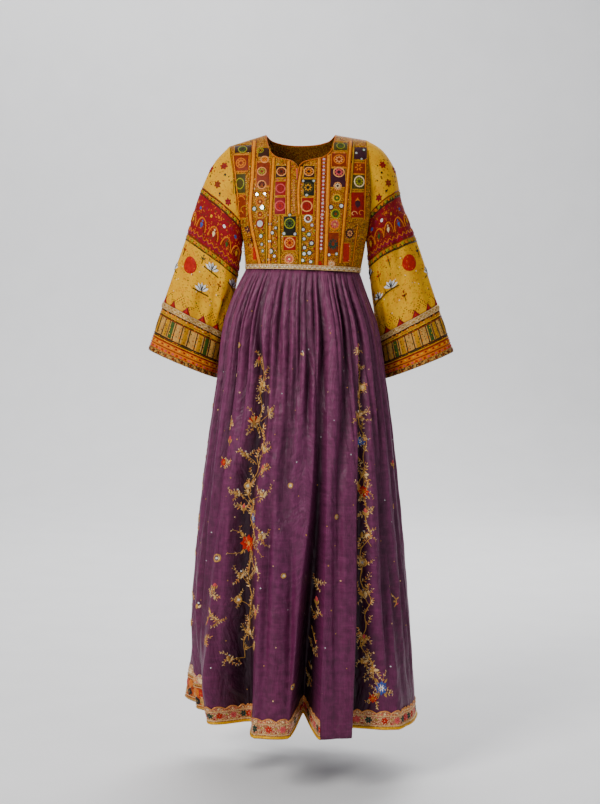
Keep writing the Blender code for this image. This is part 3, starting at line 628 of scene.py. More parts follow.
class Needlework:
    """Stitched shapes of one finish, worked flat over a cloth and then laid on it."""

    def __init__(self, cloth):
        self.cloth = cloth
        self.upward = cloth in UPWARD
        self.bm = bmesh.new()
        self.tint = self.bm.verts.layers.float_color.new("tint")

    def off(self, a, d, x, y):
        """The place x metres to the side of a place and y metres above it."""
        scale_a, scale_d = self.cloth.scale(a, d)
        return a + x / scale_a, d + (y if self.upward else -y) / scale_d

    def aimed(self, a, d, turn, reach):
        """The place a reach away from a place, turned by so many degrees from upright."""
        turn = math.radians(turn)
        return self.off(a, d, -reach * math.sin(turn), reach * math.cos(turn))

    def stamp(self, motif, a, d, wide, tall=None, turn=0.0, colour="gold", high=0.0007,
              lift=0.0):
        """Add a motif at a place, in metres wide and tall, turned by so many degrees."""
        first = len(self.bm.verts)
        self.bm.from_mesh(motif)
        self.bm.verts.ensure_lookup_table()
        scale_a, scale_d = self.cloth.scale(a, d)
        if not self.upward:
            scale_d = -scale_d
        tall = wide if tall is None else tall
        cosine, sine = math.cos(math.radians(turn)), math.sin(math.radians(turn))
        shade = (*COLOURS[colour], 1.0) if isinstance(colour, str) else (*colour, 1.0)
        for vert in self.bm.verts[first:]:
            x, y, h = vert.co.x * wide, vert.co.y * tall, vert.co.z
            vert.co = (a + (x * cosine - y * sine) / scale_a,
                       d + (x * sine + y * cosine) / scale_d, h * high + lift)
            vert[self.tint] = shade

    def strip(self, path_a, path_d, width, colour="gold", high=0.0008, lift=0.0, sides=4):
        """Add a rounded cord or ribbon along a path of places."""
        path_a, path_d = np.asarray(path_a, float), np.asarray(path_d, float)
        count = len(path_a)
        scales = np.array([self.cloth.scale(a, d) for a, d in zip(path_a, path_d)])
        tangent = np.stack((np.gradient(path_a) * scales[:, 0],
                            np.gradient(path_d) * scales[:, 1]), -1)
        tangent /= np.maximum(np.linalg.norm(tangent, axis=-1), 1e-12)[:, None]
        aside = np.stack((-tangent[:, 1], tangent[:, 0]), -1) / scales
        grid, c, r = flat_grid(count - 1, sides)
        k = np.round(c * (count - 1)).astype(int)
        across = 2 * r - 1
        shade = (*COLOURS[colour], 1.0)
        widths = np.broadcast_to(width, (count,))
        part = bpy.data.meshes.new("strip")
        places_a = path_a[k] + aside[k, 0] * across * widths[k] / 2
        places_d = path_d[k] + aside[k, 1] * across * widths[k] / 2
        heights = high * (1 - across ** 4) + lift
        set_points(grid, np.stack((places_a, places_d, heights), -1))
        # A path may run either way, so the strip's faces are turned to face out.
        grid.normal_update()
        if (sum(f.normal.z for f in grid.faces) < 0) == self.upward:
            bmesh.ops.reverse_faces(grid, faces=grid.faces[:])
        grid.to_mesh(part)
        grid.free()
        first = len(self.bm.verts)
        self.bm.from_mesh(part)
        bpy.data.meshes.remove(part)
        self.bm.verts.ensure_lookup_table()
        for vert in self.bm.verts[first:]:
            vert[self.tint] = shade

    def rosette(self, a, d, radius, ground, ring, centre, petals=8, eye="cream"):
        """A round medallion: a padded ground, a ring of chain stitch, petals and an eye."""
        self.stamp(DISC, a, d, radius, colour=ground, high=0.0006)
        self.stamp(RING, a, d, radius, colour=ring, high=0.0014)
        for k in range(petals):
            turn = 360 * k / petals
            self.stamp(LEAF, *self.aimed(a, d, turn, radius * 0.48), radius * 0.17,
                       radius * 0.26, turn, centre, 0.0009, 0.0004)
        self.stamp(DOT, a, d, radius * 0.24, colour=eye, high=0.0016)

    def flower(self, a, d, radius, petal, eye="mustard", petals=6, turn=0.0):
        """An open flower of pointed petals."""
        for k in range(petals):
            angle = turn + 360 * k / petals
            self.stamp(LEAF, *self.aimed(a, d, angle, radius * 0.55), radius * 0.30,
                       radius * 0.5, angle, petal, 0.0011)
        self.stamp(DOT, a, d, radius * 0.28, colour=eye, high=0.0018)

    def done(self, name, material, slot, lift):
        """Lay the flat work on its cloth."""
        places = np.array([v.co[:] for v in self.bm.verts])
        a, d, high = places[:, 0], places[:, 1], places[:, 2]
        set_points(self.bm, self.cloth.at(a, d)
                   + self.cloth.out(a, d) * (high + lift)[:, None])
        face_out(self.bm, self.cloth, (a, d))
        finish_piece(self.bm, name, material)


# ---- finishes ---------------------------------------------------------------
COLOURS = {
    "gold": (0.50, 0.25, 0.05), "pale_gold": (0.72, 0.47, 0.20), "mustard": (0.46, 0.20, 0.0),
    "yellow": (0.68, 0.33, 0.0), "amber": (0.66, 0.215, 0.0), "orange": (0.60, 0.15, 0.0),
    "rust": (0.20, 0.020, 0.0), "red": (0.24, 0.003, 0.001), "scarlet": (0.40, 0.009, 0.002),
    "crimson": (0.22, 0.002, 0.007), "brown": (0.038, 0.010, 0.003),
    "olive": (0.055, 0.040, 0.003), "green": (0.035, 0.075, 0.007),
    "dark": (0.009, 0.008, 0.004), "peach": (0.70, 0.27, 0.07), "cream": (0.80, 0.56, 0.28),
    "white": (0.80, 0.80, 0.78), "teal": (0.006, 0.040, 0.026), "purple": (0.040, 0.007, 0.014),
    "pink": (0.55, 0.07, 0.07), "blue": (0.03, 0.07, 0.28), "magenta": (0.25, 0.003, 0.028),
    "lime": (0.26, 0.25, 0.008), "silver": (0.80, 0.78, 0.74)}


class Finish:
    """A material under construction, with short ways to add its nodes."""

    def __init__(self, name, roughness, metallic=0.0, sheen=0.0, sheen_tint=(1, 1, 1)):
        self.material = bpy.data.materials.new(name)
        self.material.use_nodes = True
        self.tree = self.material.node_tree
        self.shader = self.tree.nodes["Principled BSDF"]
        self.shader.inputs["Roughness"].default_value = roughness
        self.shader.inputs["Metallic"].default_value = metallic
        self.shader.inputs["Specular IOR Level"].default_value = 0.14
        self.shader.inputs["Sheen Weight"].default_value = sheen
        self.shader.inputs["Sheen Roughness"].default_value = 0.35
        self.shader.inputs["Sheen Tint"].default_value = (*sheen_tint, 1)

    def add(self, kind, feeds, **settings):
        made = self.tree.nodes.new(kind)
        for name, value in settings.items():
            setattr(made, name, value)
        for socket, value in feeds.items():
            self.feed(made.inputs[socket], value)
        return made

    def feed(self, socket, value):
        if isinstance(value, bpy.types.NodeSocket):
            self.tree.links.new(value, socket)
        else:
            socket.default_value = value

    def cloth(self, x=1.0, y=1.0, turn=0.0):
        """Places on the cloth in metres, stretched by x and y."""
        places = self.add("ShaderNodeUVMap", {}, uv_map="cloth").outputs[0]
        return self.add("ShaderNodeMapping", {"Vector": places, "Scale": (x, y, 1),
                                              "Rotation": (0, 0, turn)}).outputs[0]

    def body(self, x=1.0, y=1.0, z=1.0):
        """Places in the object's own metres, stretched."""
        places = self.add("ShaderNodeTexCoord", {}).outputs["Object"]
        return self.add("ShaderNodeMapping", {"Vector": places,
                                              "Scale": (x, y, z)}).outputs[0]

    def noise(self, vector, scale, detail=3.0, distortion=0.0):
        return self.add("ShaderNodeTexNoise", {"Vector": vector, "Scale": scale,
                                               "Detail": detail,
                                               "Distortion": distortion}).outputs["Fac"]

    def cells(self, vector, scale, channel=0):
        """Cells like stitches: how far from a cell's middle, and a value of the cell's own."""
        found = self.add("ShaderNodeTexVoronoi", {"Vector": vector, "Scale": scale})
        split = self.add("ShaderNodeSeparateColor", {0: found.outputs["Color"]})
        return found.outputs["Distance"], split.outputs[channel]

    def ramp(self, factor, stops, sudden=False):
        made = self.add("ShaderNodeValToRGB", {"Fac": factor})
        blend = made.color_ramp
        blend.interpolation = "CONSTANT" if sudden else "LINEAR"
        while len(blend.elements) < len(stops):
            blend.elements.new(0.5)
        for element, (place, colour) in zip(blend.elements, stops):
            element.position = place
            element.color = (*colour, 1) if len(colour) == 3 else colour
        return made.outputs["Color"]

    def greys(self, factor, *stops, sudden=False):
        """A ramp of greys: the place and the brightness of each stop."""
        return self.ramp(factor, [(place, (grey,) * 3) for place, grey in stops], sudden)

    def mix(self, factor, one, two, blend="MIX"):
        made = self.add("ShaderNodeMix", {0: factor, 6: one, 7: two}, data_type="RGBA",
                        blend_type=blend)
        return made.outputs[2]

    def overlay(self, amount, tone, pattern):
        """Colour made lighter and darker by a pattern."""
        return self.mix(amount, tone, self.mix(1.0, tone, pattern, "OVERLAY"))

    def sum(self, operation, one, two=0.0):
        return self.add("ShaderNodeMath", {0: one, 1: two}, operation=operation).outputs[0]

    def bump(self, height, distance, strength=1.0, under=None):
        feeds = {"Height": height, "Distance": distance, "Strength": strength}
        if under is not None:
            feeds["Normal"] = under
        return self.add("ShaderNodeBump", feeds).outputs["Normal"]

    def done(self, colour, normal=None, roughness=None):
        self.feed(self.shader.inputs["Base Color"], colour)
        if normal is not None:
            self.feed(self.shader.inputs["Normal"], normal)
        if roughness is not None:
            self.feed(self.shader.inputs["Roughness"], roughness)
        return self.material


BLACK_TO_WHITE = ((0.0, 0.0), (1.0, 1.0))
EIGHTH_TURN = 0.785


def plum_silk():
    """Slubbed silk: streaks along the weft, wine and violet clouds, faint crumples; painted
    shade in the folds and painted light on their crests.
    """
    f = Finish("plum_silk", 0.50, 0.0, 0.06, (0.8, 0.35, 0.6))
    f.shader.inputs["Specular IOR Level"].default_value = 0.26
    slub = f.noise(f.cloth(16, 210), 1.0, 5)
    warp = f.noise(f.cloth(900, 12), 1.0, 2)
    cloud = f.noise(f.cloth(5, 3), 1.0, 3, 0.6)
    tone = f.ramp(slub, ((0.25, (0.054, 0.006, 0.028)), (0.55, (0.080, 0.010, 0.042)),
                         (0.8, (0.120, 0.019, 0.064))))
    violet = f.mix(f.greys(cloud, (0.3, 0), (0.7, 1)), tone, (0.070, 0.010, 0.050, 1))
    tone = f.mix(0.5, tone, violet)
    place = f.add("ShaderNodeSeparateXYZ", {0: f.cloth()}).outputs[1]
    mauve = f.greys(place, (0.0, 1), (0.32, 0.4), (0.75, 0))
    tone = f.mix(mauve, tone, (0.118, 0.024, 0.064, 1))
    wine = f.greys(place, (0.45, 0), (1.0, 0.55))
    tone = f.mix(wine, tone, (0.066, 0.006, 0.031, 1))
    tone = f.overlay(0.35, tone, f.greys(warp, *BLACK_TO_WHITE))
    mottle = f.noise(f.cloth(46, 70), 1.0, 4, 0.4)
    tone = f.overlay(0.55, tone, f.greys(mottle, (0.3, 0.25), (0.7, 0.72)))
    # Painted shade and light: the colour is multiplied darker the deeper a place lies in the
    # folds, and lighter on the crests.
    painted_fold_shade = f.add("ShaderNodeAttribute", {}, attribute_name="painted_fold_shade").outputs["Fac"]
    tone = f.mix(1.0, tone, f.greys(painted_fold_shade, (0.0, 1.35), (0.22, 0.92), (1.0, 0.22)),
                 "MULTIPLY")
    crumple = f.noise(f.cloth(16, 9, 0.7), 1.0, 4, 1.2)
    crease = f.noise(f.cloth(70, 34, -0.5), 1.0, 3, 0.8)
    normal = f.bump(crumple, 0.016, 0.6)
    normal = f.bump(crease, 0.003, 0.6, normal)
    normal = f.bump(slub, 0.0005, 0.6, normal)
    return f.done(tone, normal, f.greys(slub, (0.2, 0.40), (0.8, 0.56)))


def speckled_patchwork():
    """Cloth filled with tiny stitches of mustard, orange, red, brown and green."""
    f = Finish("bodice_patchwork", 0.66)
    distance, pick = f.cells(f.cloth(), 430)
    stitches = f.ramp(pick, (
        (0.0, COLOURS["mustard"]), (0.26, COLOURS["orange"]), (0.40, COLOURS["mustard"]),
        (0.55, COLOURS["rust"]), (0.64, COLOURS["yellow"]), (0.76, COLOURS["brown"]),
        (0.82, COLOURS["lime"]), (0.88, COLOURS["peach"]), (0.94, COLOURS["red"])), True)
    area = f.noise(f.cloth(26, 18), 1.0, 2)
    tone = f.mix(f.greys(area, (0.35, 0.1), (0.65, 0.7)), stitches,
                 (*COLOURS["mustard"], 1))
    gap = f.ramp(distance, ((0.25, (1, 1, 1)), (0.62, (0.45, 0.34, 0.25))))
    tone = f.mix(1.0, tone, gap, "MULTIPLY")
    return f.done(tone, f.bump(f.greys(distance, (0.0, 1), (0.7, 0)), 0.0006, 0.8))


def stitched_thread(name, roughness=0.5, metallic=0.0, vary=0.35):
    """Thread whose colour is its stitch's own tint, uneven from stitch to stitch."""
    f = Finish(name, roughness, metallic)
    tint = f.add("ShaderNodeAttribute", {}, attribute_name="tint").outputs["Color"]
    ply = f.noise(f.body(), 900, 2)
    patch = f.noise(f.body(), 160, 2)
    shade = f.greys(ply, (0.3, 1 - vary), (0.7, 1 + vary * 0.6))
    tone = f.mix(1.0, tint, shade, "MULTIPLY")
    tone = f.overlay(0.5, tone, f.greys(patch, *BLACK_TO_WHITE))
    return f.done(tone, f.bump(ply, 0.0005, 0.7))


def mirror_glass():
    """Small silvered mirrors, a little worn."""
    f = Finish("mirror_glass", 0.20, 0.65)
    wear = f.noise(f.body(), 420, 3)
    return f.done(f.ramp(wear, ((0.3, (0.62, 0.60, 0.58)), (0.6, (0.95, 0.94, 0.92)))),
                  f.bump(wear, 0.0004, 0.3), f.greys(wear, (0.3, 0.30), (0.7, 0.10)))


def banded_cotton(name, length):
    """Printed and stitched cotton in bands that follow the sleeve's length."""
    f = Finish(name, 0.70)
    up = f.add("ShaderNodeSeparateXYZ", {0: f.cloth()}).outputs[1]
    drift = f.noise(f.cloth(60, 60), 1.0, 2)
    wavy = f.sum("ADD", up, f.sum("MULTIPLY", f.sum("SUBTRACT", drift, 0.5), 0.004))
    share = f.sum("DIVIDE", wavy, length)
    zones = [(edge / length, COLOURS[shade]) for edge, shade in SLEEVE_ZONES]
    ground = f.ramp(share, zones, True)
    distance, pick = f.cells(f.cloth(), 360)
    fleck = f.greys(pick, (0.0, 0), (0.80, 1), sudden=True)
    colour = f.ramp(pick, ((0.0, COLOURS["orange"]), (0.86, COLOURS["rust"]),
                           (0.92, COLOURS["olive"]), (0.96, COLOURS["orange"])), True)
    busy = f.greys(share, *((edge / length, amount) for edge, amount in SLEEVE_BUSY),
                   sudden=True)
    tone = f.mix(f.mix(1.0, fleck, busy, "MULTIPLY"), ground, colour)
    cloud = f.noise(f.cloth(30, 30), 1.0, 3)
    tone = f.overlay(0.45, tone, f.greys(cloud, (0.3, 0.3), (0.7, 0.7)))
    weave = f.noise(f.cloth(1500, 700), 1.0, 2)
    normal = f.bump(f.greys(distance, (0.0, 1), (0.7, 0)), 0.0004, 0.6)
    return f.done(tone, f.bump(weave, 0.0003, 0.6, normal))


SLEEVE_ZONES = (
    (0.0, "brown"), (0.010, "orange"), (0.036, "rust"), (0.040, "olive"), (0.047, "gold"),
    (0.090, "olive"), (0.095, "mustard"), (0.101, "brown"), (0.107, "gold"),
    (0.120, "yellow"), (0.279, "olive"), (0.282, "mustard"), (0.291, "olive"),
    (0.294, "crimson"), (0.394, "olive"), (0.397, "mustard"), (0.404, "brown"),
    (0.407, "yellow"))
SLEEVE_BUSY = ((0.0, 0.9), (0.010, 0.5), (0.040, 0.9), (0.107, 0.2), (0.120, 0.45),
               (0.279, 0.8), (0.294, 0.7), (0.394, 0.8), (0.407, 0.35))


def woven_metal(name, dark, light, scale, metallic=0.75, roughness=0.34):
    """Metal thread woven or plaited, with a painted highlight on each crossing and darker
    between, partly its gaps and partly painted shade.
    """
    f = Finish(name, roughness, metallic)
    distance, glint = f.cells(f.cloth(1, 1, EIGHTH_TURN), scale, 1)
    # Painted highlight: each crossing is lighter in its middle, and glint is a painted glint of
    # its own for each crossing.
    tone = f.mix(f.greys(distance, (0.15, 0), (0.65, 1)), (*light, 1), (*dark, 1))
    tone = f.overlay(0.5, tone, f.greys(glint, *BLACK_TO_WHITE))
    return f.done(tone, f.bump(f.greys(distance, (0.0, 1), (0.7, 0)), 0.0007, 0.9))


def plain_binding():
    """Orange bias binding, its stitches showing."""
    f = Finish("orange_binding", 0.65)
    ply = f.noise(f.body(), 700, 3)
    return f.done(f.ramp(ply, ((0.3, COLOURS["rust"]), (0.6, COLOURS["orange"]),
                               (0.8, COLOURS["mustard"]))), f.bump(ply, 0.0004, 0.6))


def border_print():
    """A red and orange geometric band, in diamonds with dark and gold specks."""
    f = Finish("border_print", 0.65)
    turned = f.cloth(60, 60, EIGHTH_TURN)
    checks = f.add("ShaderNodeTexChecker", {"Vector": turned, "Scale": 1.0,
                                            "Color1": (*COLOURS["scarlet"], 1),
                                            "Color2": (*COLOURS["rust"], 1)}).outputs[0]
    distance, pick = f.cells(f.cloth(), 420)
    specks = f.ramp(pick, ((0.0, COLOURS["orange"]), (0.35, COLOURS["dark"]),
                           (0.55, COLOURS["scarlet"]), (0.8, COLOURS["gold"])), True)
    tone = f.mix(0.55, checks, specks)
    return f.done(tone, f.bump(distance, 0.0005, 0.6))


def cut_lace(name, dark, light):
    """Lace of metal and cream thread, with small holes darker between the threads."""
    f = Finish(name, 0.5, 0.25)
    distance, pick = f.cells(f.cloth(), 380, 2)
    tone = f.mix(f.greys(distance, (0.2, 0), (0.6, 1)), (*light, 1), (*dark, 1))
    tone = f.mix(f.greys(pick, (0.0, 0), (0.86, 0.8), sudden=True), tone,
                 (*COLOURS["pink"], 1))
    return f.done(tone, f.bump(f.greys(distance, (0.0, 1), (0.6, 0)), 0.0008, 0.9))


SILK = plum_silk()
PATCHWORK = speckled_patchwork()
THREAD = stitched_thread("embroidery_thread")
METAL_THREAD = stitched_thread("gold_thread", 0.40, 0.30, 0.5)
GLASS = mirror_glass()
COTTON = {side: banded_cotton("sleeve_cotton_" + word, SLEEVE_LENGTH[side])
          for side, word in ((-1, "left"), (1, "right"))}
RIBBON = woven_metal("gold_ribbon", (0.40, 0.24, 0.04), (0.95, 0.74, 0.36), 500)
WAIST_METAL = woven_metal("metallic_braid", (0.30, 0.24, 0.12), (0.90, 0.84, 0.66), 480)
CUFF = woven_metal("cuff_braid", (0.06, 0.025, 0.01), (0.70, 0.33, 0.05), 420, 0.2, 0.5)
BINDING = plain_binding()
BORDER = border_print()
GOLD_LACE = cut_lace("gold_lace", (0.30, 0.10, 0.04), (0.88, 0.62, 0.32))
CREAM_LACE = cut_lace("cream_lace", (0.42, 0.20, 0.08), (0.90, 0.68, 0.42))


# ---- bodice -----------------------------------------------------------------
def neck_curve(points, each):
    """Fine points along a neck edge, whose corner at the slit's foot stays sharp."""
    points = np.array(points)
    steps = np.linalg.norm(np.diff(points, axis=0), axis=-1)
    along = np.concatenate(((0,), np.cumsum(steps)))
    if len(points) > SLIT_FOOT + 2:
        halves = (slice(0, SLIT_FOOT + 1), slice(SLIT_FOOT, None))
    else:
        halves = (slice(0, None),)
    found = []
    for half in halves:
        fine = np.linspace(along[half][0], along[half][-1], each)
        curve = np.stack([smooth(fine, along[half], points[half, k]) for k in (0, 1)], -1)
        found.append(curve if not found else curve[1:])
    return np.concatenate(found)


def bodice_cloth(front):
    """A bodice panel: its columns hang from the shoulders and from the neck edge."""
    neck = neck_curve(NECK_FRONT if front else NECK_BACK, 52 if front else 60)
    left, right = BODICE_LEFT[-1], BODICE_RIGHT[-1]
    spread = 0.5 - 0.5 * np.cos(np.pi * np.linspace(0, 1, 29)[:-1])
    tops = np.concatenate((left + (neck[0, 0] - left) * spread, neck[:, 0],
                           right + (neck[-1, 0] - right) * spread[::-1]))
    across = share_across(tops)
    heights = shoulder_line(across)
    heights[len(spread):len(spread) + len(neck)] = neck[:, 1]

    def place(c, r):
        k = np.round(c * (len(tops) - 1)).astype(int)
        z = heights[k] + (waist_edge(across[k], front) - heights[k]) * r
        low, high = bodice_edges(z)
        return low + (high - low) * (across[k] + 1) / 2, z

    word = "front" if front else "back"
    cloth_piece("bodice_" + word + "_cloth", FRONT if front else BACK, place, len(tops) - 1,
                BODICE_ROWS, PATCHWORK, ("bodice_" + word,), BODICE_WALL)


def stripe(work, xs, zs, width, colour="amber", edges="orange", high=0.0011):
    """A satin stripe down the bodice with a darker cord along each side."""
    z = np.linspace(zs[0], zs[-1], 70)
    x = smooth(-z, -np.array(zs), xs) if len(zs) > 2 else np.interp(-z, -np.array(zs), xs)
    work.strip(x, z, width * 0.82, colour, high)
    for side in (-1, 1):
        work.strip(x + side * width * 0.47, z, width * 0.20, edges, high * 0.9)


def block(work, x, z, wide, tall, colour, edge="mustard"):
    """A patch of plain cloth, with a stitched frame round it."""
    work.stamp(PATCH, x, z, wide / 2, tall / 2, colour=colour, high=0.0005)
    for side in (-1, 1):
        work.stamp(SMALL_PATCH, x, z + side * tall / 2, wide / 2, 0.0011, colour=edge,
                   high=0.0010)
        work.stamp(SMALL_PATCH, x + side * wide / 2, z, 0.0010, tall / 2, colour=edge,
                   high=0.0009)


def specks(work, x, z, wide, tall, colours, count, size=0.0013):
    """Loose knots scattered over a patch."""
    for _ in range(count):
        work.stamp(DOT, x + dice.uniform(-0.46, 0.46) * wide,
                   z + dice.uniform(-0.46, 0.46) * tall, size * dice.uniform(0.7, 1.3),
                   colour=dice.choice(colours), high=0.0013)


def mirror(threads, glass, x, z, radius, ring="brown"):
    """A round mirror held by a ring of stitches."""
    threads.stamp(WIDE_RING, x, z, radius * 1.45, colour=ring, high=0.0015)
    glass.stamp(MIRROR, x, z, radius, colour="silver", high=0.0010)


# Stripes of the front: x at each height, the heights, and the width.
STRIPES = (
    ((-0.109, -0.112, -0.117, -0.095), (-0.016, -0.10, -0.188, -0.308), 0.0095, "amber"),
    ((-0.063, -0.066, -0.070, -0.074), (-0.058, -0.12, -0.190, -0.308), 0.0080, "amber"),
    ((-0.079, -0.079), (-0.195, -0.306), 0.0060, "mustard"),
    ((-0.0285, -0.0290), (-0.066, -0.190), 0.0085, "amber"),
    ((0.0014, -0.0008, -0.0045, -0.0050), (-0.080, -0.094, -0.116, -0.190), 0.0070, "amber"),
    ((-0.050, -0.050), (-0.192, -0.308), 0.0065, "mustard"),
    ((-0.0015, -0.0020), (-0.192, -0.308), 0.0065, "mustard"),
    ((0.042, 0.039, 0.036), (-0.060, -0.18, -0.308), 0.0095, "amber"),
    ((0.064, 0.060, 0.056), (-0.052, -0.18, -0.308), 0.0095, "amber"),
    ((0.116, 0.107, 0.099, 0.090), (-0.016, -0.11, -0.20, -0.300), 0.0080, "amber"),
    ((0.1235, 0.114), (-0.020, -0.140), 0.0045, "mustard"),
    ((0.130, 0.119), (-0.215, -0.306), 0.0040, "amber"),
    ((-0.158, -0.148, -0.142), (-0.050, -0.13, -0.200), 0.0040, "amber"),
    ((0.150, 0.146), (-0.060, -0.200), 0.0035, "amber"))
# Plain patches of the front: x, z, width, height, colour.
BLOCKS = (
    (-0.135, -0.035, 0.042, 0.026, "brown"), (-0.139, -0.069, 0.038, 0.040, "rust"),
    (-0.141, -0.117, 0.034, 0.046, "olive"), (-0.136, -0.170, 0.030, 0.052, "rust"),
    (-0.086, -0.045, 0.028, 0.026, "brown"), (-0.087, -0.096, 0.032, 0.058, "rust"),
    (-0.046, -0.091, 0.026, 0.030, "brown"), (-0.047, -0.130, 0.026, 0.034, "red"),
    (-0.048, -0.170, 0.026, 0.040, "crimson"),
    (-0.026, -0.216, 0.030, 0.046, "dark"), (-0.026, -0.256, 0.030, 0.032, "red"),
    (0.019, -0.091, 0.026, 0.030, "brown"), (0.018, -0.128, 0.026, 0.040, "dark"),
    (0.015, -0.171, 0.028, 0.040, "red"),
    (0.092, -0.030, 0.034, 0.024, "olive"), (0.088, -0.063, 0.036, 0.036, "rust"),
    (0.085, -0.105, 0.036, 0.046, "purple"), (0.074, -0.255, 0.026, 0.050, "rust"),
    (0.137, -0.046, 0.034, 0.034, "purple"), (0.133, -0.082, 0.034, 0.026, "rust"),
    (0.132, -0.114, 0.034, 0.034, "olive"), (0.130, -0.167, 0.034, 0.060, "red"),
    (0.104, -0.276, 0.018, 0.044, "scarlet"), (-0.107, -0.278, 0.014, 0.030, "scarlet"))
# Medallions: x, z, radius, ground, ring, petals, eye.
ROSETTES = (
    (-0.136, -0.036, 0.0110, "dark", "lime", "green", "lime"),
    (-0.139, -0.069, 0.0125, "rust", "orange", "orange", "red"),
    (-0.141, -0.117, 0.0125, "dark", "lime", "olive", "white"),
    (-0.094, -0.040, 0.0075, "olive", "lime", "mustard", "rust"),
    (-0.084, -0.062, 0.0090, "rust", "peach", "orange", "scarlet"),
    (-0.090, -0.090, 0.0105, "olive", "peach", "lime", "mustard"),
    (-0.090, -0.121, 0.0100, "rust", "peach", "brown", "orange"),
    (-0.094, -0.160, 0.0090, "mustard", "orange", "rust", "peach"),
    (-0.094, -0.189, 0.0085, "orange", "mustard", "rust", "peach"),
    (-0.045, -0.091, 0.0110, "brown", "peach", "rust", "orange"),
    (-0.047, -0.130, 0.0105, "scarlet", "pink", "red", "pink"),
    (-0.048, -0.170, 0.0115, "crimson", "pink", "scarlet", "pink"),
    (-0.026, -0.210, 0.0115, "dark", "lime", "green", "white"),
    (-0.026, -0.254, 0.0115, "red", "peach", "orange", "cream"),
    (-0.027, -0.291, 0.0100, "orange", "peach", "pink", "cream"),
    (0.018, -0.091, 0.0110, "red", "peach", "orange", "scarlet"),
    (0.016, -0.128, 0.0115, "dark", "olive", "mustard", "peach"),
    (0.013, -0.171, 0.0125, "scarlet", "peach", "red", "white"),
    (0.016, -0.199, 0.0080, "peach", "silver", "brown", "pink"),
    (0.092, -0.029, 0.0095, "olive", "lime", "green", "mustard"),
    (0.088, -0.062, 0.0125, "rust", "orange", "peach", "orange"),
    (0.087, -0.092, 0.0125, "purple", "peach", "pink", "silver"),
    (0.084, -0.124, 0.0085, "purple", "peach", "cream", "peach"),
    (0.082, -0.152, 0.0090, "lime", "yellow", "green", "yellow"),
    (0.079, -0.188, 0.0100, "brown", "lime", "green", "rust"),
    (0.077, -0.212, 0.0120, "peach", "orange", "pink", "peach"),
    (0.070, -0.302, 0.0080, "scarlet", "peach", "cream", "peach"),
    (0.134, -0.113, 0.0130, "olive", "cream", "lime", "cream"),
    (0.112, -0.232, 0.0100, "purple", "brown", "peach", "rust"))
# Mirrors: x, z, radius.
MIRRORS = (
    (-0.101, -0.143, 0.0036), (-0.083, -0.142, 0.0032), (-0.107, -0.176, 0.0046),
    (-0.089, -0.173, 0.0050), (-0.094, -0.210, 0.0080), (-0.092, -0.238, 0.0042),
    (-0.090, -0.257, 0.0036), (-0.088, -0.272, 0.0032), (-0.071, -0.211, 0.0036),
    (-0.066, -0.231, 0.0040), (-0.058, -0.220, 0.0030), (-0.072, -0.250, 0.0038),
    (-0.070, -0.273, 0.0056), (-0.061, -0.284, 0.0034), (-0.074, -0.292, 0.0034),
    (-0.039, -0.233, 0.0036), (-0.014, -0.234, 0.0036), (-0.026, -0.191, 0.0034),
    (0.005, -0.113, 0.0030), (0.029, -0.113, 0.0030), (0.013, -0.146, 0.0034),
    (0.005, -0.224, 0.0036), (0.025, -0.214, 0.0036), (0.018, -0.235, 0.0040),
    (0.007, -0.245, 0.0036), (0.024, -0.255, 0.0044), (0.008, -0.265, 0.0038),
    (0.007, -0.279, 0.0040), (0.019, -0.277, 0.0044), (0.004, -0.294, 0.0036),
    (0.022, -0.297, 0.0036), (0.068, -0.173, 0.0046), (0.092, -0.170, 0.0044),
    (0.064, -0.281, 0.0034), (0.081, -0.279, 0.0032), (0.128, -0.046, 0.0032),
    (0.146, -0.038, 0.0032), (0.140, -0.060, 0.0028))
# Open flowers: x, z, radius, petal, eye, petals and turn.
FLOWERS = (
    (0.073, -0.257, 0.0150, "teal", "magenta", 10, 0),
    (0.041, -0.302, 0.0090, "scarlet", "orange", 8, 0),
    (-0.124, -0.222, 0.0100, "purple", "peach", 6, 0),
    (-0.113, -0.246, 0.0090, "brown", "magenta", 6, 0),
    (0.133, -0.080, 0.0110, "orange", "scarlet", 6, 30))
# Curled sprays: x, z, size, colour.
CURLS = ((-0.140, -0.155, 0.011, "orange"), (-0.132, -0.178, 0.012, "mustard"),
         (-0.141, -0.186, 0.008, "orange"), (0.138, -0.186, 0.009, "orange"),
         (0.121, -0.188, 0.008, "peach"))
# Knots in rows: x, z, colour.
KNOTS = (
    (-0.054, -0.111, "pink"), (-0.037, -0.111, "pink"), (-0.057, -0.149, "peach"),
    (-0.039, -0.149, "peach"), (0.006, -0.149, "orange"), (0.028, -0.149, "orange"),
    (-0.056, -0.242, "red"), (-0.064, -0.302, "green"), (-0.052, -0.192, "pink"),
    (-0.084, -0.295, "rust"), (0.030, -0.268, "red"), (0.030, -0.228, "lime"))


SMALL_KNOTS = 900
ROSETTE_EASE = 1.14          # how much larger each front medallion is worked
ROSETTE_BEADS = 14


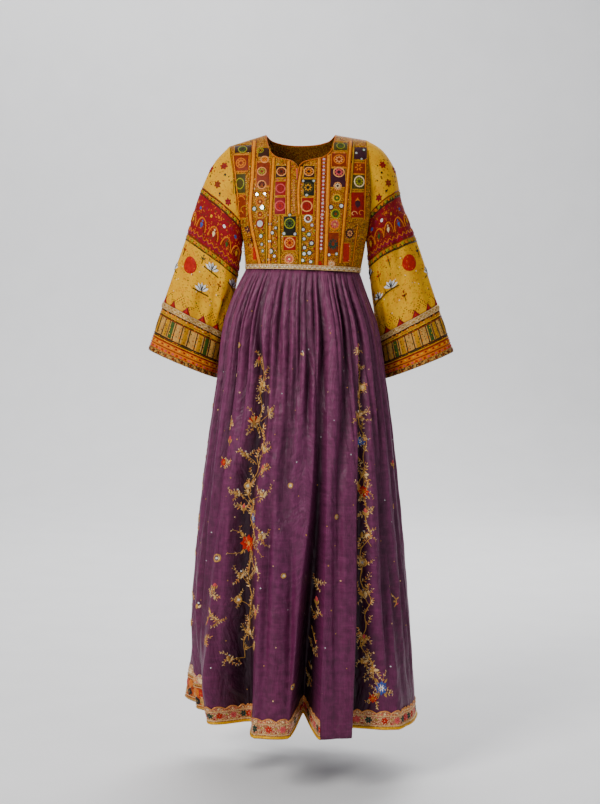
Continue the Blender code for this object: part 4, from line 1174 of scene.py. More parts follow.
def front_embroidery():
    """Columns of patches, medallions and mirrors between satin stripes."""
    threads, glass = Needlework(FRONT), Needlework(FRONT)
    for x, z, wide, tall, colour in BLOCKS:
        block(threads, x, z, wide, tall, colour,
              "orange" if colour in ("rust", "scarlet") else "mustard")
        specks(threads, x, z, wide, tall, ("peach", "orange", "lime", "mustard", "cream"),
               int(wide * tall * 16000), 0.0010)
    for xs, zs, width, colour in STRIPES:
        stripe(threads, xs, zs, width, colour, "rust" if colour == "amber" else "olive")
    # Small knots fill the cloth between the stripes.
    neck_xs, neck_zs = zip(*NECK_FRONT)
    for _ in range(SMALL_KNOTS):
        x, z = dice.uniform(-0.150, 0.150), dice.uniform(-0.308, -0.030)
        if z > np.interp(x, neck_xs, neck_zs) - 0.006:
            continue
        if abs(x) > 0.118 - 0.10 * z * 0.5:
            continue
        threads.stamp(DOT, x, z, dice.uniform(0.0009, 0.0016), colour=dice.choice(
            ("rust", "peach", "red", "brown", "pink", "cream", "orange", "lime")), high=0.0009)
    for x, z, radius, ground, ring, petals, eye in ROSETTES:
        radius *= ROSETTE_EASE
        threads.rosette(x, z, radius, ground, ring, petals, 8 if radius > 0.009 else 6, eye)
        for k in range(ROSETTE_BEADS):
            angle = 2 * math.pi * k / ROSETTE_BEADS
            threads.stamp(DOT, x + radius * 1.17 * math.cos(angle),
                          z + radius * 1.17 * math.sin(angle), 0.0009, colour="peach",
                          high=0.0012)
    for flower in FLOWERS:
        threads.flower(*flower)
    threads.stamp(LEAF, 0.130, -0.162, 0.0120, 0.0175, 180, "orange", 0.0012)
    threads.stamp(LEAF, 0.130, -0.164, 0.0075, 0.0110, 180, "purple", 0.0016, 0.0006)
    curls(threads)
    # A ladder of loops beside the slit, and an arch over the lowest rosette.
    for k in range(13):
        z = -0.112 - 0.0056 * k
        threads.stamp(WIDE_RING, -0.0165, z, 0.0030, 0.0022, colour="peach", high=0.0012)
    turn = np.linspace(0, np.pi, 17)
    threads.strip(-0.026 - 0.019 * np.cos(turn), -0.290 + 0.015 * np.sin(turn), 0.0030,
                  "mustard", 0.0013)
    threads.strip((-0.0092, -0.0092), (-0.084, -0.110), 0.0024, "pink", 0.0012)
    for x, z, colour in KNOTS:
        threads.stamp(DOT, x, z, 0.0026, colour=colour, high=0.0018)
    for x, z, radius in MIRRORS:
        mirror(threads, glass, x, z, radius, dice.choice(("brown", "olive", "rust", "green")))
    for k in range(25):
        z = -0.062 - 0.2050 * k / 24
        x = np.interp(z, (-0.27, -0.06), (0.0455, 0.0530))
        threads.stamp(SMALL_PATCH, x, z, 0.0046, 0.0036, colour="red", high=0.0005)
        mirror(threads, glass, x, z, 0.0024 if k % 3 else 0.0029, "pink")
    # Green knots on the yellow strips beside the side seams, and loose ones low down.
    for side, x_top, x_low in ((-1, -0.146, -0.121), (1, 0.147, 0.131)):
        for k in range(16):
            z = -0.205 - 0.0064 * k
            x = x_top + (x_low - x_top) * k / 15
            threads.stamp(DOT, x, z, 0.0016, colour="green", high=0.0014)
            threads.stamp(DOT, x + side * 0.006, z - 0.003, 0.0013, colour="olive",
                          high=0.0014)
    for x, wide in ((-0.070, 0.026), (0.015, 0.028), (0.078, 0.026), (-0.092, 0.020)):
        specks(threads, x, -0.250, wide, 0.105,
               ("green", "rust", "brown", "lime", "peach", "red"), 46, 0.0014)
    threads.done("bodice_front_embroidery", THREAD, "bodice_patchwork", LAID)
    glass.done("bodice_front_mirrors", GLASS, "metallic_braid", 0.0011)


def curls(work):
    """Curling sprays on the orange patch at the left, and on the red one at the right."""
    for x, z, size, colour in CURLS:
        t = np.linspace(0, 1, 16)
        turn = 4.6 * t
        reach = size * (1 - 0.75 * t)
        work.strip(x + reach * np.cos(turn), z + reach * np.sin(turn), 0.0022, colour, 0.0013)


def back_embroidery():
    """The back carries plainer columns of the same medallions."""
    threads, glass = Needlework(BACK), Needlework(BACK)
    grounds = ("rust", "olive", "brown", "red", "dark", "crimson")
    rings = ("orange", "lime", "peach", "pink")
    columns = (-0.125, -0.083, -0.041, 0.001, 0.043, 0.085, 0.127)
    for n, x in enumerate(columns):
        top = -0.034 if abs(x) > 0.07 else -0.046
        rows = 7 if abs(x) > 0.07 else 6
        for k in range(rows):
            z = top - (k + 0.4) * 0.040
            narrow = 1 - 0.12 * max(0, (-0.2 - z) / 0.1)
            ground = grounds[(n * 2 + k) % len(grounds)]
            block(threads, x * narrow, z, 0.028, 0.033, ground,
                  "orange" if ground == "rust" else "mustard")
            threads.rosette(x * narrow, z, 0.0115, ground, rings[(n + k) % len(rings)],
                            ("orange", "peach", "mustard")[k % 3], 8, "cream")
            for side in (-1, 1):
                mirror(threads, glass, x * narrow + side * 0.0105, z - 0.0195, 0.0030)
        if n:
            middle = (x + columns[n - 1]) / 2
            stripe(threads, (middle, middle * 0.90),
                   (-0.030 if abs(middle) > 0.08 else -0.040, -0.318), 0.0080)
    threads.done("bodice_back_embroidery", THREAD, "bodice_patchwork", LAID)
    glass.done("bodice_back_mirrors", GLASS, "metallic_braid", 0.0011)


def neck_bindings():
    """Rolled binding round the neck edge: two front halves and the back."""
    front = neck_curve(NECK_FRONT, 70)
    back = neck_curve(NECK_BACK, 80)
    half = len(front) // 2
    trim = 5
    for name, cloth, edge in (("neck_binding_left", FRONT, front[:half + 1 - trim]),
                              ("neck_binding_right", FRONT, front[half + trim:]),
                              ("neck_binding_back", BACK, back)):
        points = cloth.at(edge[:, 0], edge[:, 1])
        out = cloth.out(edge[:, 0], edge[:, 1])
        along = np.gradient(points, axis=0)
        off = np.cross(along, out)
        off /= np.linalg.norm(off, axis=-1)[:, None]
        middle = points.mean(axis=0) + np.array((0, 0, 0.05))
        off *= np.sign(np.sum(off * (middle - points), -1))[:, None]
        count = len(points)
        bm, c, r = flat_grid(count - 1, 12)
        k = np.round(c * (count - 1)).astype(int)
        turn = 2 * np.pi * r
        ring = out[k] * np.cos(turn)[:, None] + off[k] * np.sin(turn)[:, None]
        core = points[k] - out[k] * BODICE_WALL / 2 + off[k] * 0.0009
        set_points(bm, core + ring * 0.0015)
        bmesh.ops.remove_doubles(bm, verts=bm.verts[:], dist=1e-6)
        bmesh.ops.holes_fill(bm, edges=[e for e in bm.edges if e.is_boundary], sides=0)
        bmesh.ops.recalc_face_normals(bm, faces=bm.faces[:])
        finish_piece(bm, name + "_cord", BINDING, (name,))


def waist_braids():
    """Plaited metal braid over the waist seam, with painted highlights on its crossings and a
    corded edge.
    """
    for front, cloth in ((True, FRONT), (False, BACK)):
        word = "front" if front else "back"

        def place(c, r):
            across = 2 * c - 1
            low = waist_edge(across, front)
            z = low + (BRAID_HEIGHT + 0.0005) * (1 - r)
            left, right = bodice_edges(z)
            return left + (right - left) * c, z

        cloth_piece("waist_braid_" + word + "_band", cloth, place, 200, 6, WAIST_METAL,
                    ("waist_braid_" + word,), 0.0006, 0.0011)
        work = Needlework(cloth)
        share = np.linspace(0.004, 0.996, 220)
        for part, colour, width in ((0.06, "pale_gold", 0.0018), (0.94, "pale_gold", 0.0018)):
            x, z = place(share, np.full_like(share, 1 - part))
            work.strip(x, z, width, colour, 0.0010)
        for lean in (0, 1):
            plait = 0.5 + 0.36 * np.sin(share * 2 * np.pi * 24 + np.pi * lean)
            x, z = place(share, plait)
            work.strip(x, z, 0.0020, "cream" if lean else "gold", 0.0010, 0.0003 * lean)
        for k in range(48):
            x, z = place(np.array((k + 0.5) / 48), np.array(0.5))
            work.stamp(DOT, float(x), float(z), 0.0013, colour="silver", high=0.0018)
        work.done("waist_braid_" + word + "_plait", METAL_THREAD, "metallic_braid", 0.0012)


bodice_cloth(True)
bodice_cloth(False)
front_embroidery()
back_embroidery()
neck_bindings()
waist_braids()


# ---- sleeves ----------------------------------------------------------------
def sleeve_pieces(side):
    """One sleeve: its cloth, the border below the ribbon, the ribbon and the cuff braid."""
    word = "left" if side < 0 else "right"
    cloth = SLEEVES[side]
    ribbon_top, ribbon_low = RIBBON_UP

    def measure(a, d):
        return a * SLEEVE_ROUND, d

    def upper(c, r):
        return c, sleeve_top(side, c) + (ribbon_top - sleeve_top(side, c)) * r

    def band(top, low):
        return lambda c, r: (c, top + (low - top) * r)

    for part, place, rows, material, slot, wall, lift in (
            ("sleeve_{}_cloth", upper, SLEEVE_ROWS, COTTON[side], "sleeve_print",
             SLEEVE_WALL, 0),
            ("sleeve_border_{}_cloth", band(ribbon_top, 0.0), SLEEVE_BORDER_ROWS,
             COTTON[side], "sleeve_border", SLEEVE_WALL, 0),
            ("sleeve_ribbon_{}_band", band(ribbon_top, ribbon_low), 4, RIBBON,
             "gold_ribbon", TRIM_WALL, BRAID_LIFT),
            ("cuff_braid_{}_band", band(CUFF_BRAID_UP, 0.0), 4, CUFF, "cuff_braid",
             TRIM_WALL, BRAID_LIFT)):
        name = part.format(word)
        cloth_piece(name, cloth, place, SLEEVE_COLUMNS, rows, material,
                    (name.rsplit("_", 1)[0],), wall, lift, measure, True)


def open_fan(work, turn, up, size, lean=0.0):
    """A fan of pale petals between dark strokes, on a dark line."""
    scale_a, scale_d = work.cloth.scale(turn, up)

    def petal(angle, reach, wide, tall, colour, lift):
        work.stamp(LEAF, *work.aimed(turn, up, angle, size * reach), size * wide,
                   size * tall, angle, colour, 0.0010, lift)

    for k in range(5):
        petal(-62 + 31 * k + lean, 0.52, 0.17, 0.46, "white", 0.0)
    for k in range(4):
        petal(-46 + 31 * k + lean, 0.46, 0.055, 0.44, "dark", 0.0005)
    petal(lean, 0.30, 0.05, 0.62, "dark", 0.0008)
    tilt = math.radians(lean - 14)
    t = np.linspace(-1, 1, 9)
    work.strip(turn + size * t * math.cos(tilt) / scale_a,
               up + size * (t * math.sin(tilt) - 0.16) / scale_d, size * 0.13, "dark",
               0.0011)


def sprig(work, turn, up, size, petal="orange", stalk="dark"):
    """A small upright sprig: three leaves on a dark stalk."""
    scale_d = work.cloth.scale(turn, up)[1]
    work.strip((turn, turn), (up - size / scale_d, up + size * 0.6 / scale_d), size * 0.16,
               stalk, 0.0010)
    for angle, place in ((-48, 0.0), (48, 0.0), (0, 0.55)):
        x = -math.sin(math.radians(angle)) * size * 0.45
        y = math.cos(math.radians(angle)) * size * 0.45 + place * size
        work.stamp(LEAF, *work.off(turn, up, x, y), size * 0.20, size * 0.36, angle, petal,
                   0.0011)


def sun_disc(work, turn, up, radius):
    """The large round red medallion, worked with small coloured marks."""
    work.stamp(ROUND, turn, up, radius, colour="scarlet", high=0.0009)
    work.stamp(RING, turn, up, radius * 1.04, colour="scarlet", high=0.0012)
    marks = ("crimson", "pink", "orange", "crimson")
    for ring, count in ((0.76, 16), (0.50, 11), (0.24, 5)):
        for k in range(count):
            angle = 2 * math.pi * (k + ring) / count
            work.stamp(DOT, *work.off(turn, up, ring * radius * math.cos(angle),
                                      ring * radius * math.sin(angle)), radius * 0.085,
                       colour=marks[(k + int(ring * 10)) % len(marks)], high=0.0008,
                       lift=0.0008)


# The sleeves' own shapes: turn and up of each, then its size, and a fan's lean.
FANS = {-1: ((0.268, 0.250, 0.021, 6), (0.246, 0.190, 0.021, 14), (0.425, 0.248, 0.021, -8),
             (0.62, 0.240, 0.020, 0), (0.86, 0.225, 0.020, 8), (0.02, 0.205, 0.018, 0)),
        1: ((0.470, 0.262, 0.021, -6), (0.300, 0.206, 0.021, 10), (0.395, 0.200, 0.019, 0),
            (0.62, 0.240, 0.020, 0), (0.88, 0.230, 0.020, 8), (0.03, 0.200, 0.018, 0))}
SUNS = {-1: ((0.148, 0.232), (0.74, 0.215)), 1: ((0.161, 0.239), (0.76, 0.215))}
SPRIGS = {-1: ((0.372, 0.196, 0.014), (0.33, 0.225, 0.011), (0.07, 0.255, 0.012),
               (0.205, 0.262, 0.010), (0.41, 0.160, 0.010), (0.68, 0.190, 0.013),
               (0.93, 0.255, 0.012)),
          1: ((0.270, 0.262, 0.012), (0.235, 0.175, 0.012), (0.355, 0.245, 0.012),
              (0.07, 0.255, 0.012), (0.440, 0.215, 0.012), (0.69, 0.190, 0.013),
              (0.94, 0.255, 0.012))}
# Flowers near the shoulder: turn, up and size.
SHOULDER_FLOWERS = ((0.04, 0.455, 0.011), (0.15, 0.436, 0.010), (0.24, 0.420, 0.009),
                    (0.86, 0.450, 0.011), (0.95, 0.485, 0.010), (0.77, 0.425, 0.010),
                    (0.12, 0.480, 0.010))
# Cords of the border: up, width, colour.
BORDER_CORDS = ((0.0225, 0.0022, "rust"), (0.0352, 0.0026, "red"), (0.0390, 0.0018, "yellow"),
                (0.0450, 0.0024, "brown"), (0.0900, 0.0024, "rust"),
                (0.0950, 0.0018, "yellow"))
SPRIG_COLOURS = ("orange", "rust", "scarlet", "teal")


def row_of(count, start=0.0):
    return [(start + (k + 0.5) / count) % 1 for k in range(count)]


def around(low=0.0, high=1.0, count=160):
    return np.linspace(low, high, count)


def sleeve_needlework(side):
    """The bands, arches, triangles and scattered motifs of one sleeve."""
    word = "left" if side < 0 else "right"
    cloth = SLEEVES[side]
    work, metal = Needlework(cloth), Needlework(cloth)

    def fits(turn, up):
        return up < sleeve_top(side, turn) - EDGE_ROOM

    def line(up, width, colour):
        """A cord round the sleeve, cut where it meets the armhole."""
        t = around(-0.5, 0.5, 150)
        t = t[fits(t, up)]
        work.strip(t, np.full_like(t, up), width, colour, 0.0010)

    # Border: windows of gold between dark bars, over orange and red cords.
    for k, turn in enumerate(row_of(28)):
        work.stamp(SMALL_PATCH, turn, 0.0690, 0.0050, 0.0205,
                   colour=("gold", "mustard", "gold", "mustard", "green")[k % 5],
                   high=0.0008)
        work.stamp(SMALL_PATCH, turn + 0.5 / 28, 0.0690, 0.0012, 0.0205, colour="dark",
                   high=0.0010)
        for up in (0.053, 0.059, 0.066, 0.073, 0.080, 0.086):
            work.stamp(DOT, turn + dice.uniform(-0.3, 0.3) / 28, up, 0.0015,
                       colour=dice.choice(("olive", "yellow", "rust", "green")),
                       high=0.0008, lift=0.0008)
    for k, turn in enumerate(row_of(52)):
        work.stamp(SMALL_PATCH, turn, 0.0160, 0.0030, 0.0022,
                   colour="scarlet" if k % 2 else "pink", high=0.0010)
        work.stamp(SMALL_PATCH, turn + 0.008, 0.0295, 0.0026, 0.0018,
                   colour="yellow" if k % 2 else "red", high=0.0010)
    for up, width, colour in BORDER_CORDS:
        line(up, width, colour)
    for turn in row_of(70):
        work.stamp(DOT, turn, 0.1010 + 0.0016 * math.sin(turn * 200), 0.0019,
                   colour=("peach", "orange", "mustard")[int(turn * 70) % 3], high=0.0012)
    # Large triangles over the ribbon, with a dotted net above and between them.
    for turn in row_of(12):
        work.stamp(TRIANGLE, turn, 0.1290, 0.0115, 0.0085, colour="crimson", high=0.0010)
        work.stamp(TRIANGLE, turn, 0.1265, 0.0055, 0.0040, colour="scarlet", high=0.0008,
                   lift=0.0008)
    for row in range(8):
        for turn in row_of(66, 0.5 / 66 * (row % 2)):
            off = abs((turn * 12) % 1 - 0.5) * 2
            if off * 0.017 < 0.0045 * row - 0.001 and 0.0045 * row < 0.012 + off * 0.020:
                work.stamp(DOT, turn, 0.1245 + 0.0045 * row, 0.0015,
                           colour="dark" if row % 2 else "red", high=0.0009)
    # Two narrow bands of diamonds.
    for up in (0.2865, 0.4005):
        for k, turn in enumerate(t for t in row_of(40) if fits(t, up)):
            work.stamp(SMALL_PATCH, turn, up, 0.0030, 0.0030, 45,
                       "orange" if k % 2 else "lime", 0.0011)
            work.stamp(DOT, turn + 0.5 / 40, up, 0.0016, colour="dark", high=0.0012)
        for off in (-0.0068, 0.0068):
            line(up + off, 0.0022, "brown" if off < 0 else "rust")
    # Arches and coloured marks on the red cloth, over a magenta zigzag.
    for k, turn in enumerate(t for t in row_of(12, 0.02) if fits(t, 0.362)):
        scale_a, scale_d = cloth.scale(turn, 0.33)
        t = np.linspace(0, np.pi, 13)
        for size, colour in ((0.0145, "orange"), (0.0095, "rust")):
            work.strip(turn - size * np.cos(t) / scale_a,
                       0.322 + 1.9 * size * np.sin(t) / scale_d, 0.0032, colour, 0.0012)
        work.stamp(LEAF, turn, 0.336, 0.0040, 0.0105, 0,
                   ("yellow", "blue", "cream", "green")[k % 4], 0.0013)
        if not fits(turn + 0.5 / 12, 0.378):
            continue
        work.stamp(DOT, turn + 0.5 / 12, 0.366, 0.0042,
                   colour=("blue", "yellow", "white")[k % 3], high=0.0015)
        work.stamp(DOT, turn, 0.375, 0.0034, colour=("orange", "magenta")[k % 2],
                   high=0.0014)
    t = around(count=200)
    zigzag = np.abs((t * 30) % 1 - 0.5) * 2
    work.strip(t, 0.2990 + 0.0090 * zigzag, 0.0030, "magenta", 0.0012)
    work.strip(t, 0.3035 + 0.0090 * zigzag, 0.0018, "orange", 0.0010)
    # Flowers and dots on the yellow over the upper band.
    for k, (turn, up, size) in enumerate(SHOULDER_FLOWERS):
        if fits(turn, up + 0.012) and fits(turn + 0.035, up):
            work.flower(turn, up, size, ("red", "rust", "crimson")[k % 3], "green", 6, 20 * k)
            work.stamp(DOT, turn + 0.035, up - 0.014, 0.0030, colour="dark", high=0.0013)
    for _ in range(46):
        turn = dice.uniform(-0.30, 0.30) % 1
        up = dice.uniform(0.412, 0.50)
        if fits(turn, up):
            work.stamp(DOT, turn, up, 0.0018, colour=dice.choice(("dark", "red", "green")),
                       high=0.0012)
    # The yellow cloth: medallion, fans and sprigs among small scattered marks.
    for turn, up in SUNS[side]:
        sun_disc(work, turn, up, 0.0195)
    for turn, up, size, lean in FANS[side]:
        open_fan(work, turn, up, size, lean)
    for k, (turn, up, size) in enumerate(SPRIGS[side]):
        sprig(work, turn, up, size, SPRIG_COLOURS[k % len(SPRIG_COLOURS)])
    for _ in range(190):
        turn, up = dice.random(), dice.uniform(0.155, 0.275)
        work.stamp(DOT, turn, up, dice.uniform(0.0010, 0.0021),
                   colour=dice.choice(("orange", "rust", "green", "cream", "orange")),
                   high=0.0010)
    for up in (RIBBON_UP[0] - 0.0008, RIBBON_UP[1] + 0.0008):
        t = around()
        metal.strip(t, np.full_like(t, up), 0.0018, "pale_gold", 0.0008, 0.0018)
    plait = around(count=300)
    for lean in (0, 1):
        metal.strip(plait, sum(RIBBON_UP) / 2
                    + 0.0030 * np.sin(2 * np.pi * 34 * plait + np.pi * lean), 0.0020,
                    "pale_gold" if lean else "gold", 0.0008, 0.0018 + 0.0003 * lean)
    for turn in row_of(50):
        metal.stamp(DOT, turn, CUFF_BRAID_UP / 2, 0.0028, 0.0036,
                    colour="gold" if int(turn * 50) % 2 else "rust", high=0.0010, lift=0.0016)
    work.done("sleeve_" + word + "_embroidery", THREAD, "sleeve_print", LAID)
    metal.done("sleeve_" + word + "_gold_thread", METAL_THREAD, "gold_ribbon", LAID)


for side in (-1, 1):
    sleeve_pieces(side)
for side in (-1, 1):
    sleeve_needlework(side)


# ---- skirt ------------------------------------------------------------------
SKIRT_LONG = 1.07
FOLD_SHADE_NEAR = (0.014, 0.018, 0.030, 0.060)
FOLD_SHADE_BROAD = (0.030, 0.034, 0.044, 0.110)
SKIRT_ROUND = 2.3 / 360     # metres of the pattern for a degree round


def skirt_measure(a, d):
    return a * SKIRT_ROUND, d * SKIRT_LONG


def fold_shade(angle, share):
    """How deep in the folds a place lies, from 0 on a crest to 1 at the bottom, as painted shade
    for the silk's colour.
    """
    beside = [fold_depth(angle + step, share) for step in (-14, -7, 7, 14)]
    depth = fold_depth(angle, share)
    sunk = (depth - np.mean(beside, axis=0)) / np.interp(share, (0, 0.1, 0.5, 1),
                                                         FOLD_SHADE_NEAR)
    broad = depth / np.interp(share, (0, 0.1, 0.5, 1), FOLD_SHADE_BROAD)
    return np.clip(0.10 + 0.75 * sunk + 0.55 * broad, 0, 1)


def skirt_panels():
    def front(first, last):
        def place(c, r):
            return follow(first + (last - first) * c, r), r
        return place

    def back(first, last):
        def place(c, r):
            return first + (last - first) * c, r
        return place

    end = len(TRACKS) + 1
    for name, place, columns in (
            ("skirt_front_left", front(0, CENTRE_SEAM_TRACK), 270),
            ("skirt_front_right", front(CENTRE_SEAM_TRACK, end), 200),
            ("skirt_back_right", back(RIGHT_SEAM, BACK_SEAM), 120),
            ("skirt_back_left", back(BACK_SEAM, 360 + LEFT_SEAM), 120)):
        # The silk panels carry painted shade: darker deep in the folds, lighter on the crests.
        cloth_piece(name + "_cloth", SKIRT, place, columns, SKIRT_ROWS, SILK,
                    (name,), SKIRT_WALL, 0, skirt_measure, painted_fold_shade=fold_shade)


def scalloped(top, deep, count, share):
    """Height of an edge that hangs in so many scallops."""
    return top - deep + deep * np.abs(np.sin(np.pi * count * share))


def hem_trims():
    """Gold lace with scallops, small flowers and a corded edge, round the front's hem."""
    end = len(TRACKS) + 1
    for name, first, last, scallops in (("hem_trim_left", 0, CENTRE_SEAM_TRACK, 34),
                                        ("hem_trim_right", None, end, 15)):
        if first is None:
            columns = np.linspace(CENTRE_SEAM_TRACK, end, 400)
            angles = follow(columns, np.ones_like(columns))
            first = float(columns[np.argmin(np.abs(angles - TRIM_START_RIGHT))])

        def place(c, r):
            angle = follow(first + (last - first) * c, 1 - TRIM_FOOT / SKIRT_LONG + 0 * c)
            upper = scalloped(TRIM_HEIGHT, TRIM_SCALLOP, scallops, c)
            return angle, 1 - (TRIM_FOOT + (upper - TRIM_FOOT) * (1 - r)) / SKIRT_LONG

        cloth_piece(name + "_lace", SKIRT, place, 260 if scallops > 20 else 120, 12,
                    GOLD_LACE, (name,), TRIM_WALL, TRIM_LIFT, skirt_measure)
        work, metal = Needlework(SKIRT), Needlework(SKIRT)

        def along(shares, up):
            shares = np.asarray(shares, float)
            down = 1 - up / SKIRT_LONG + 0 * shares
            return follow(first + (last - first) * shares, np.ones_like(shares)), down

        fine = np.linspace(0, 1, 400)
        metal.strip(*along(fine, 0.004), 0.0070, "yellow", 0.0030, 0.0010)
        metal.strip(*along(fine, 0.0105), 0.0022, "pale_gold", 0.0016, 0.0010)
        metal.strip(*along(fine, 0.0335), 0.0018, "pale_gold", 0.0014, 0.0010)
        edge = scalloped(TRIM_HEIGHT, TRIM_SCALLOP, scallops, fine)
        metal.strip(along(fine, 0.0)[0], 1 - edge / SKIRT_LONG, 0.0026, "peach", 0.0014,
                    TRIM_LIFT)
        for k in range(scallops):
            share = (k + 0.5) / scallops
            angle, down = (float(v) for v in along(share, 0.0225))
            colour, eye = (("scarlet", "cream"), ("pink", "red"), ("teal", "pink"))[k % 3]
            work.flower(angle, down, 0.0088, colour, eye, 6, 15 * k)
            for off, up, tint in ((0.0, 0.0390, "cream"), (-0.28, 0.0355, "peach"),
                                  (0.28, 0.0355, "peach"), (-0.5, 0.0250, "lime"),
                                  (-0.5, 0.0150, "red"), (-0.22, 0.0140, "gold"),
                                  (0.22, 0.0140, "gold")):
                angle, down = (float(v) for v in along(min(max(share + off / scallops, 0),
                                                           1), up))
                work.stamp(DOT, angle, down, 0.0021, colour=tint, high=0.0014)
        work.done(name + "_flowers", THREAD, "gold_lace", 0.0011)
        metal.done(name + "_cords", METAL_THREAD, "gold_lace", 0.0002)


def back_border():
    """The printed border round the back's hem, with scalloped cream lace over it."""
    first, last = RIGHT_SEAM, 360 + LEFT_SEAM

    def band(top, low, scallops=0):
        def place(c, r):
            upper = scalloped(top, LACE_SCALLOP, scallops, c) if scallops else top
            return first + (last - first) * c, 1 - (low + (upper - low) * (1 - r)) / SKIRT_LONG
        return place

    for name, place, columns, rows, material, slot in (
            ("hem_border_back", band(BORDER_HEIGHT, TRIM_FOOT), 260, 12, BORDER,
             "border_print"),
            ("hem_lace_back", band(BORDER_HEIGHT + LACE_HEIGHT, BORDER_HEIGHT, 52),
             520, 8, CREAM_LACE, "cream_lace")):
        cloth_piece(name + "_band", SKIRT, place, columns, rows, material, (name,),
                    TRIM_WALL, TRIM_LIFT, skirt_measure)
    work, metal = Needlework(SKIRT), Needlework(SKIRT)
    for k in range(64):
        angle = first + (last - first) * (k + 0.5) / 64
        for up, size, colours in ((0.0430, 0.0080, ("orange", "scarlet")),
                                  (0.0210, 0.0080, ("dark", "gold"))):
            work.stamp(SMALL_PATCH, angle, 1 - up / SKIRT_LONG, size, size, 45,
                       colours[k % 2], 0.0009)
            work.stamp(DOT, angle, 1 - up / SKIRT_LONG, 0.0026, colour=colours[(k + 1) % 2],
                       high=0.0010, lift=0.0009)
        work.stamp(DOT, angle, 1 - 0.032 / SKIRT_LONG, 0.0022, colour="cream", high=0.0012)
    for k in range(52):
        angle = first + (last - first) * (k + 0.5) / 52
        work.flower(angle, 1 - (BORDER_HEIGHT + 0.011) / SKIRT_LONG, 0.0075,
                    "peach" if k % 2 else "cream", "pink", 6)
    fine = np.linspace(first, last, 500)
    for up, width, colour in ((0.004, 0.0055, "gold"), (0.0110, 0.0020, "pale_gold"),
                              (0.0560, 0.0020, "pale_gold"),
                              (BORDER_HEIGHT, 0.0036, "gold")):
        metal.strip(fine, np.full_like(fine, 1 - up / SKIRT_LONG), width, colour, 0.0016,
                    0.0010)
    work.done("back_border_flowers", THREAD, "border_print", 0.0011)
    metal.done("back_border_cords", METAL_THREAD, "border_print", 0.0002)


# ---- skirt embroidery ---------------------------------------------------------
# The sprays of the skirt: angle and share of each, its kind, and its size.
LEFT_VINE = (
    (-31, 0.195, "bud", 0.011), (-27, 0.247, "leaf", 0.012), (-20, 0.307, "leaf", 0.012),
    (-31, 0.330, "fan", 0.019), (-22, 0.384, "ring", 0.010), (-35, 0.399, "leaf", 0.012),
    (-22, 0.424, "bud", 0.010), (-34, 0.466, "ring", 0.009), (-39, 0.482, "leaf", 0.012),
    (-21, 0.479, "leaf", 0.012), (-36, 0.514, "bud", 0.011), (-28, 0.533, "blue", 0.013),
    (-32, 0.591, "red", 0.020), (-21, 0.569, "leaf", 0.013), (-24, 0.640, "leaf", 0.014),
    (-36, 0.662, "leaf", 0.014), (-37, 0.715, "ring", 0.010), (-24, 0.736, "bud", 0.011),
    (-32, 0.788, "leaf", 0.014), (-25, 0.811, "ring", 0.009), (-42, 0.848, "leaf", 0.013))
RIGHT_VINE = (
    (42, 0.165, "bud", 0.010), (44, 0.205, "leaf", 0.011), (44, 0.250, "ring", 0.009),
    (40, 0.310, "leaf", 0.012), (40, 0.367, "blue", 0.012), (40, 0.439, "leaf", 0.013),
    (39, 0.475, "red", 0.013), (39, 0.520, "bud", 0.012), (38, 0.570, "leaf", 0.013),
    (37, 0.630, "ring", 0.010), (37, 0.700, "leaf", 0.014), (37, 0.796, "bud", 0.012),
    (37, 0.848, "leaf", 0.013), (41, 0.866, "leaf", 0.014), (44, 0.905, "blue", 0.017),
    (41, 0.930, "red", 0.011))
# Single sprays, buds and stars away from the vines.
LONE = (
    (-47, 0.164, "ring", 0.007), (-49, 0.229, "leaf", 0.009), (-46, 0.367, "bud", 0.011),
    (-51, 0.417, "red", 0.010), (-48, 0.623, "ring", 0.010), (-48, 0.684, "bud", 0.009),
    (-64, 0.738, "leaf", 0.011), (-51, 0.755, "spray", 0.024), (9, 0.71, "bud", 0.012),
    (8, 0.79, "spray", 0.018), (6, 0.866, "leaf", 0.012),
    (9, 0.67, "frond", 0.016), (9, 0.74, "frond", 0.018), (7, 0.82, "frond", 0.018),
    (5, 0.90, "frond", 0.016), (-49, 0.70, "frond", 0.014), (-46, 0.76, "frond", 0.016),
    (-52, 0.80, "frond", 0.014), (-46, 0.42, "frond", 0.014), (-47, 0.33, "frond", 0.012),
    (1, 0.184, "leaf", 0.008),
    (-6, 0.459, "ring", 0.0065), (20, 0.526, "ring", 0.0065), (-9, 0.651, "ring", 0.0065),
    (-4, 0.893, "ring", 0.0065), (63, 0.513, "ring", 0.0065), (56, 0.300, "leaf", 0.009),
    (57, 0.720, "spray", 0.018), (70, 0.420, "bud", 0.010), (-72, 0.560, "spray", 0.018))
# Vines of the back and sides, like those of the front.
BACK_VINES = ((116, 0.0), (150, 0.02), (222, 0.01), (255, -0.01))


FROND_COLOURS = ("gold", "pale_gold", "peach", "pale_gold", "pale_gold")


def spray(work, metal, angle, share, size, lean=0.0):
    """A curled branch with leaves along it."""
    scale_a, scale_d = SKIRT.scale(angle, share)
    t = np.linspace(0, 1, 14)
    x = size * (0.55 * np.sin(2.6 * t + lean) - 0.2)
    y = size * (1.6 * t - 0.8)
    path_a, path_d = angle + x / scale_a, share - y / scale_d
    metal.strip(path_a, path_d, 0.0022, "gold", 0.0011)
    for k in (2, 5, 8, 11, 13):
        turn = 55 if k % 2 else -55
        off = size * 0.20 * (1 if k % 2 else -1)
        work.stamp(LEAF, path_a[k] - off / scale_a, path_d[k] - size * 0.12 / scale_d,
                   size * 0.10, size * 0.24, turn,
                   ("gold", "pale_gold", "pink", "gold", "scarlet")[k % 5], 0.0012)


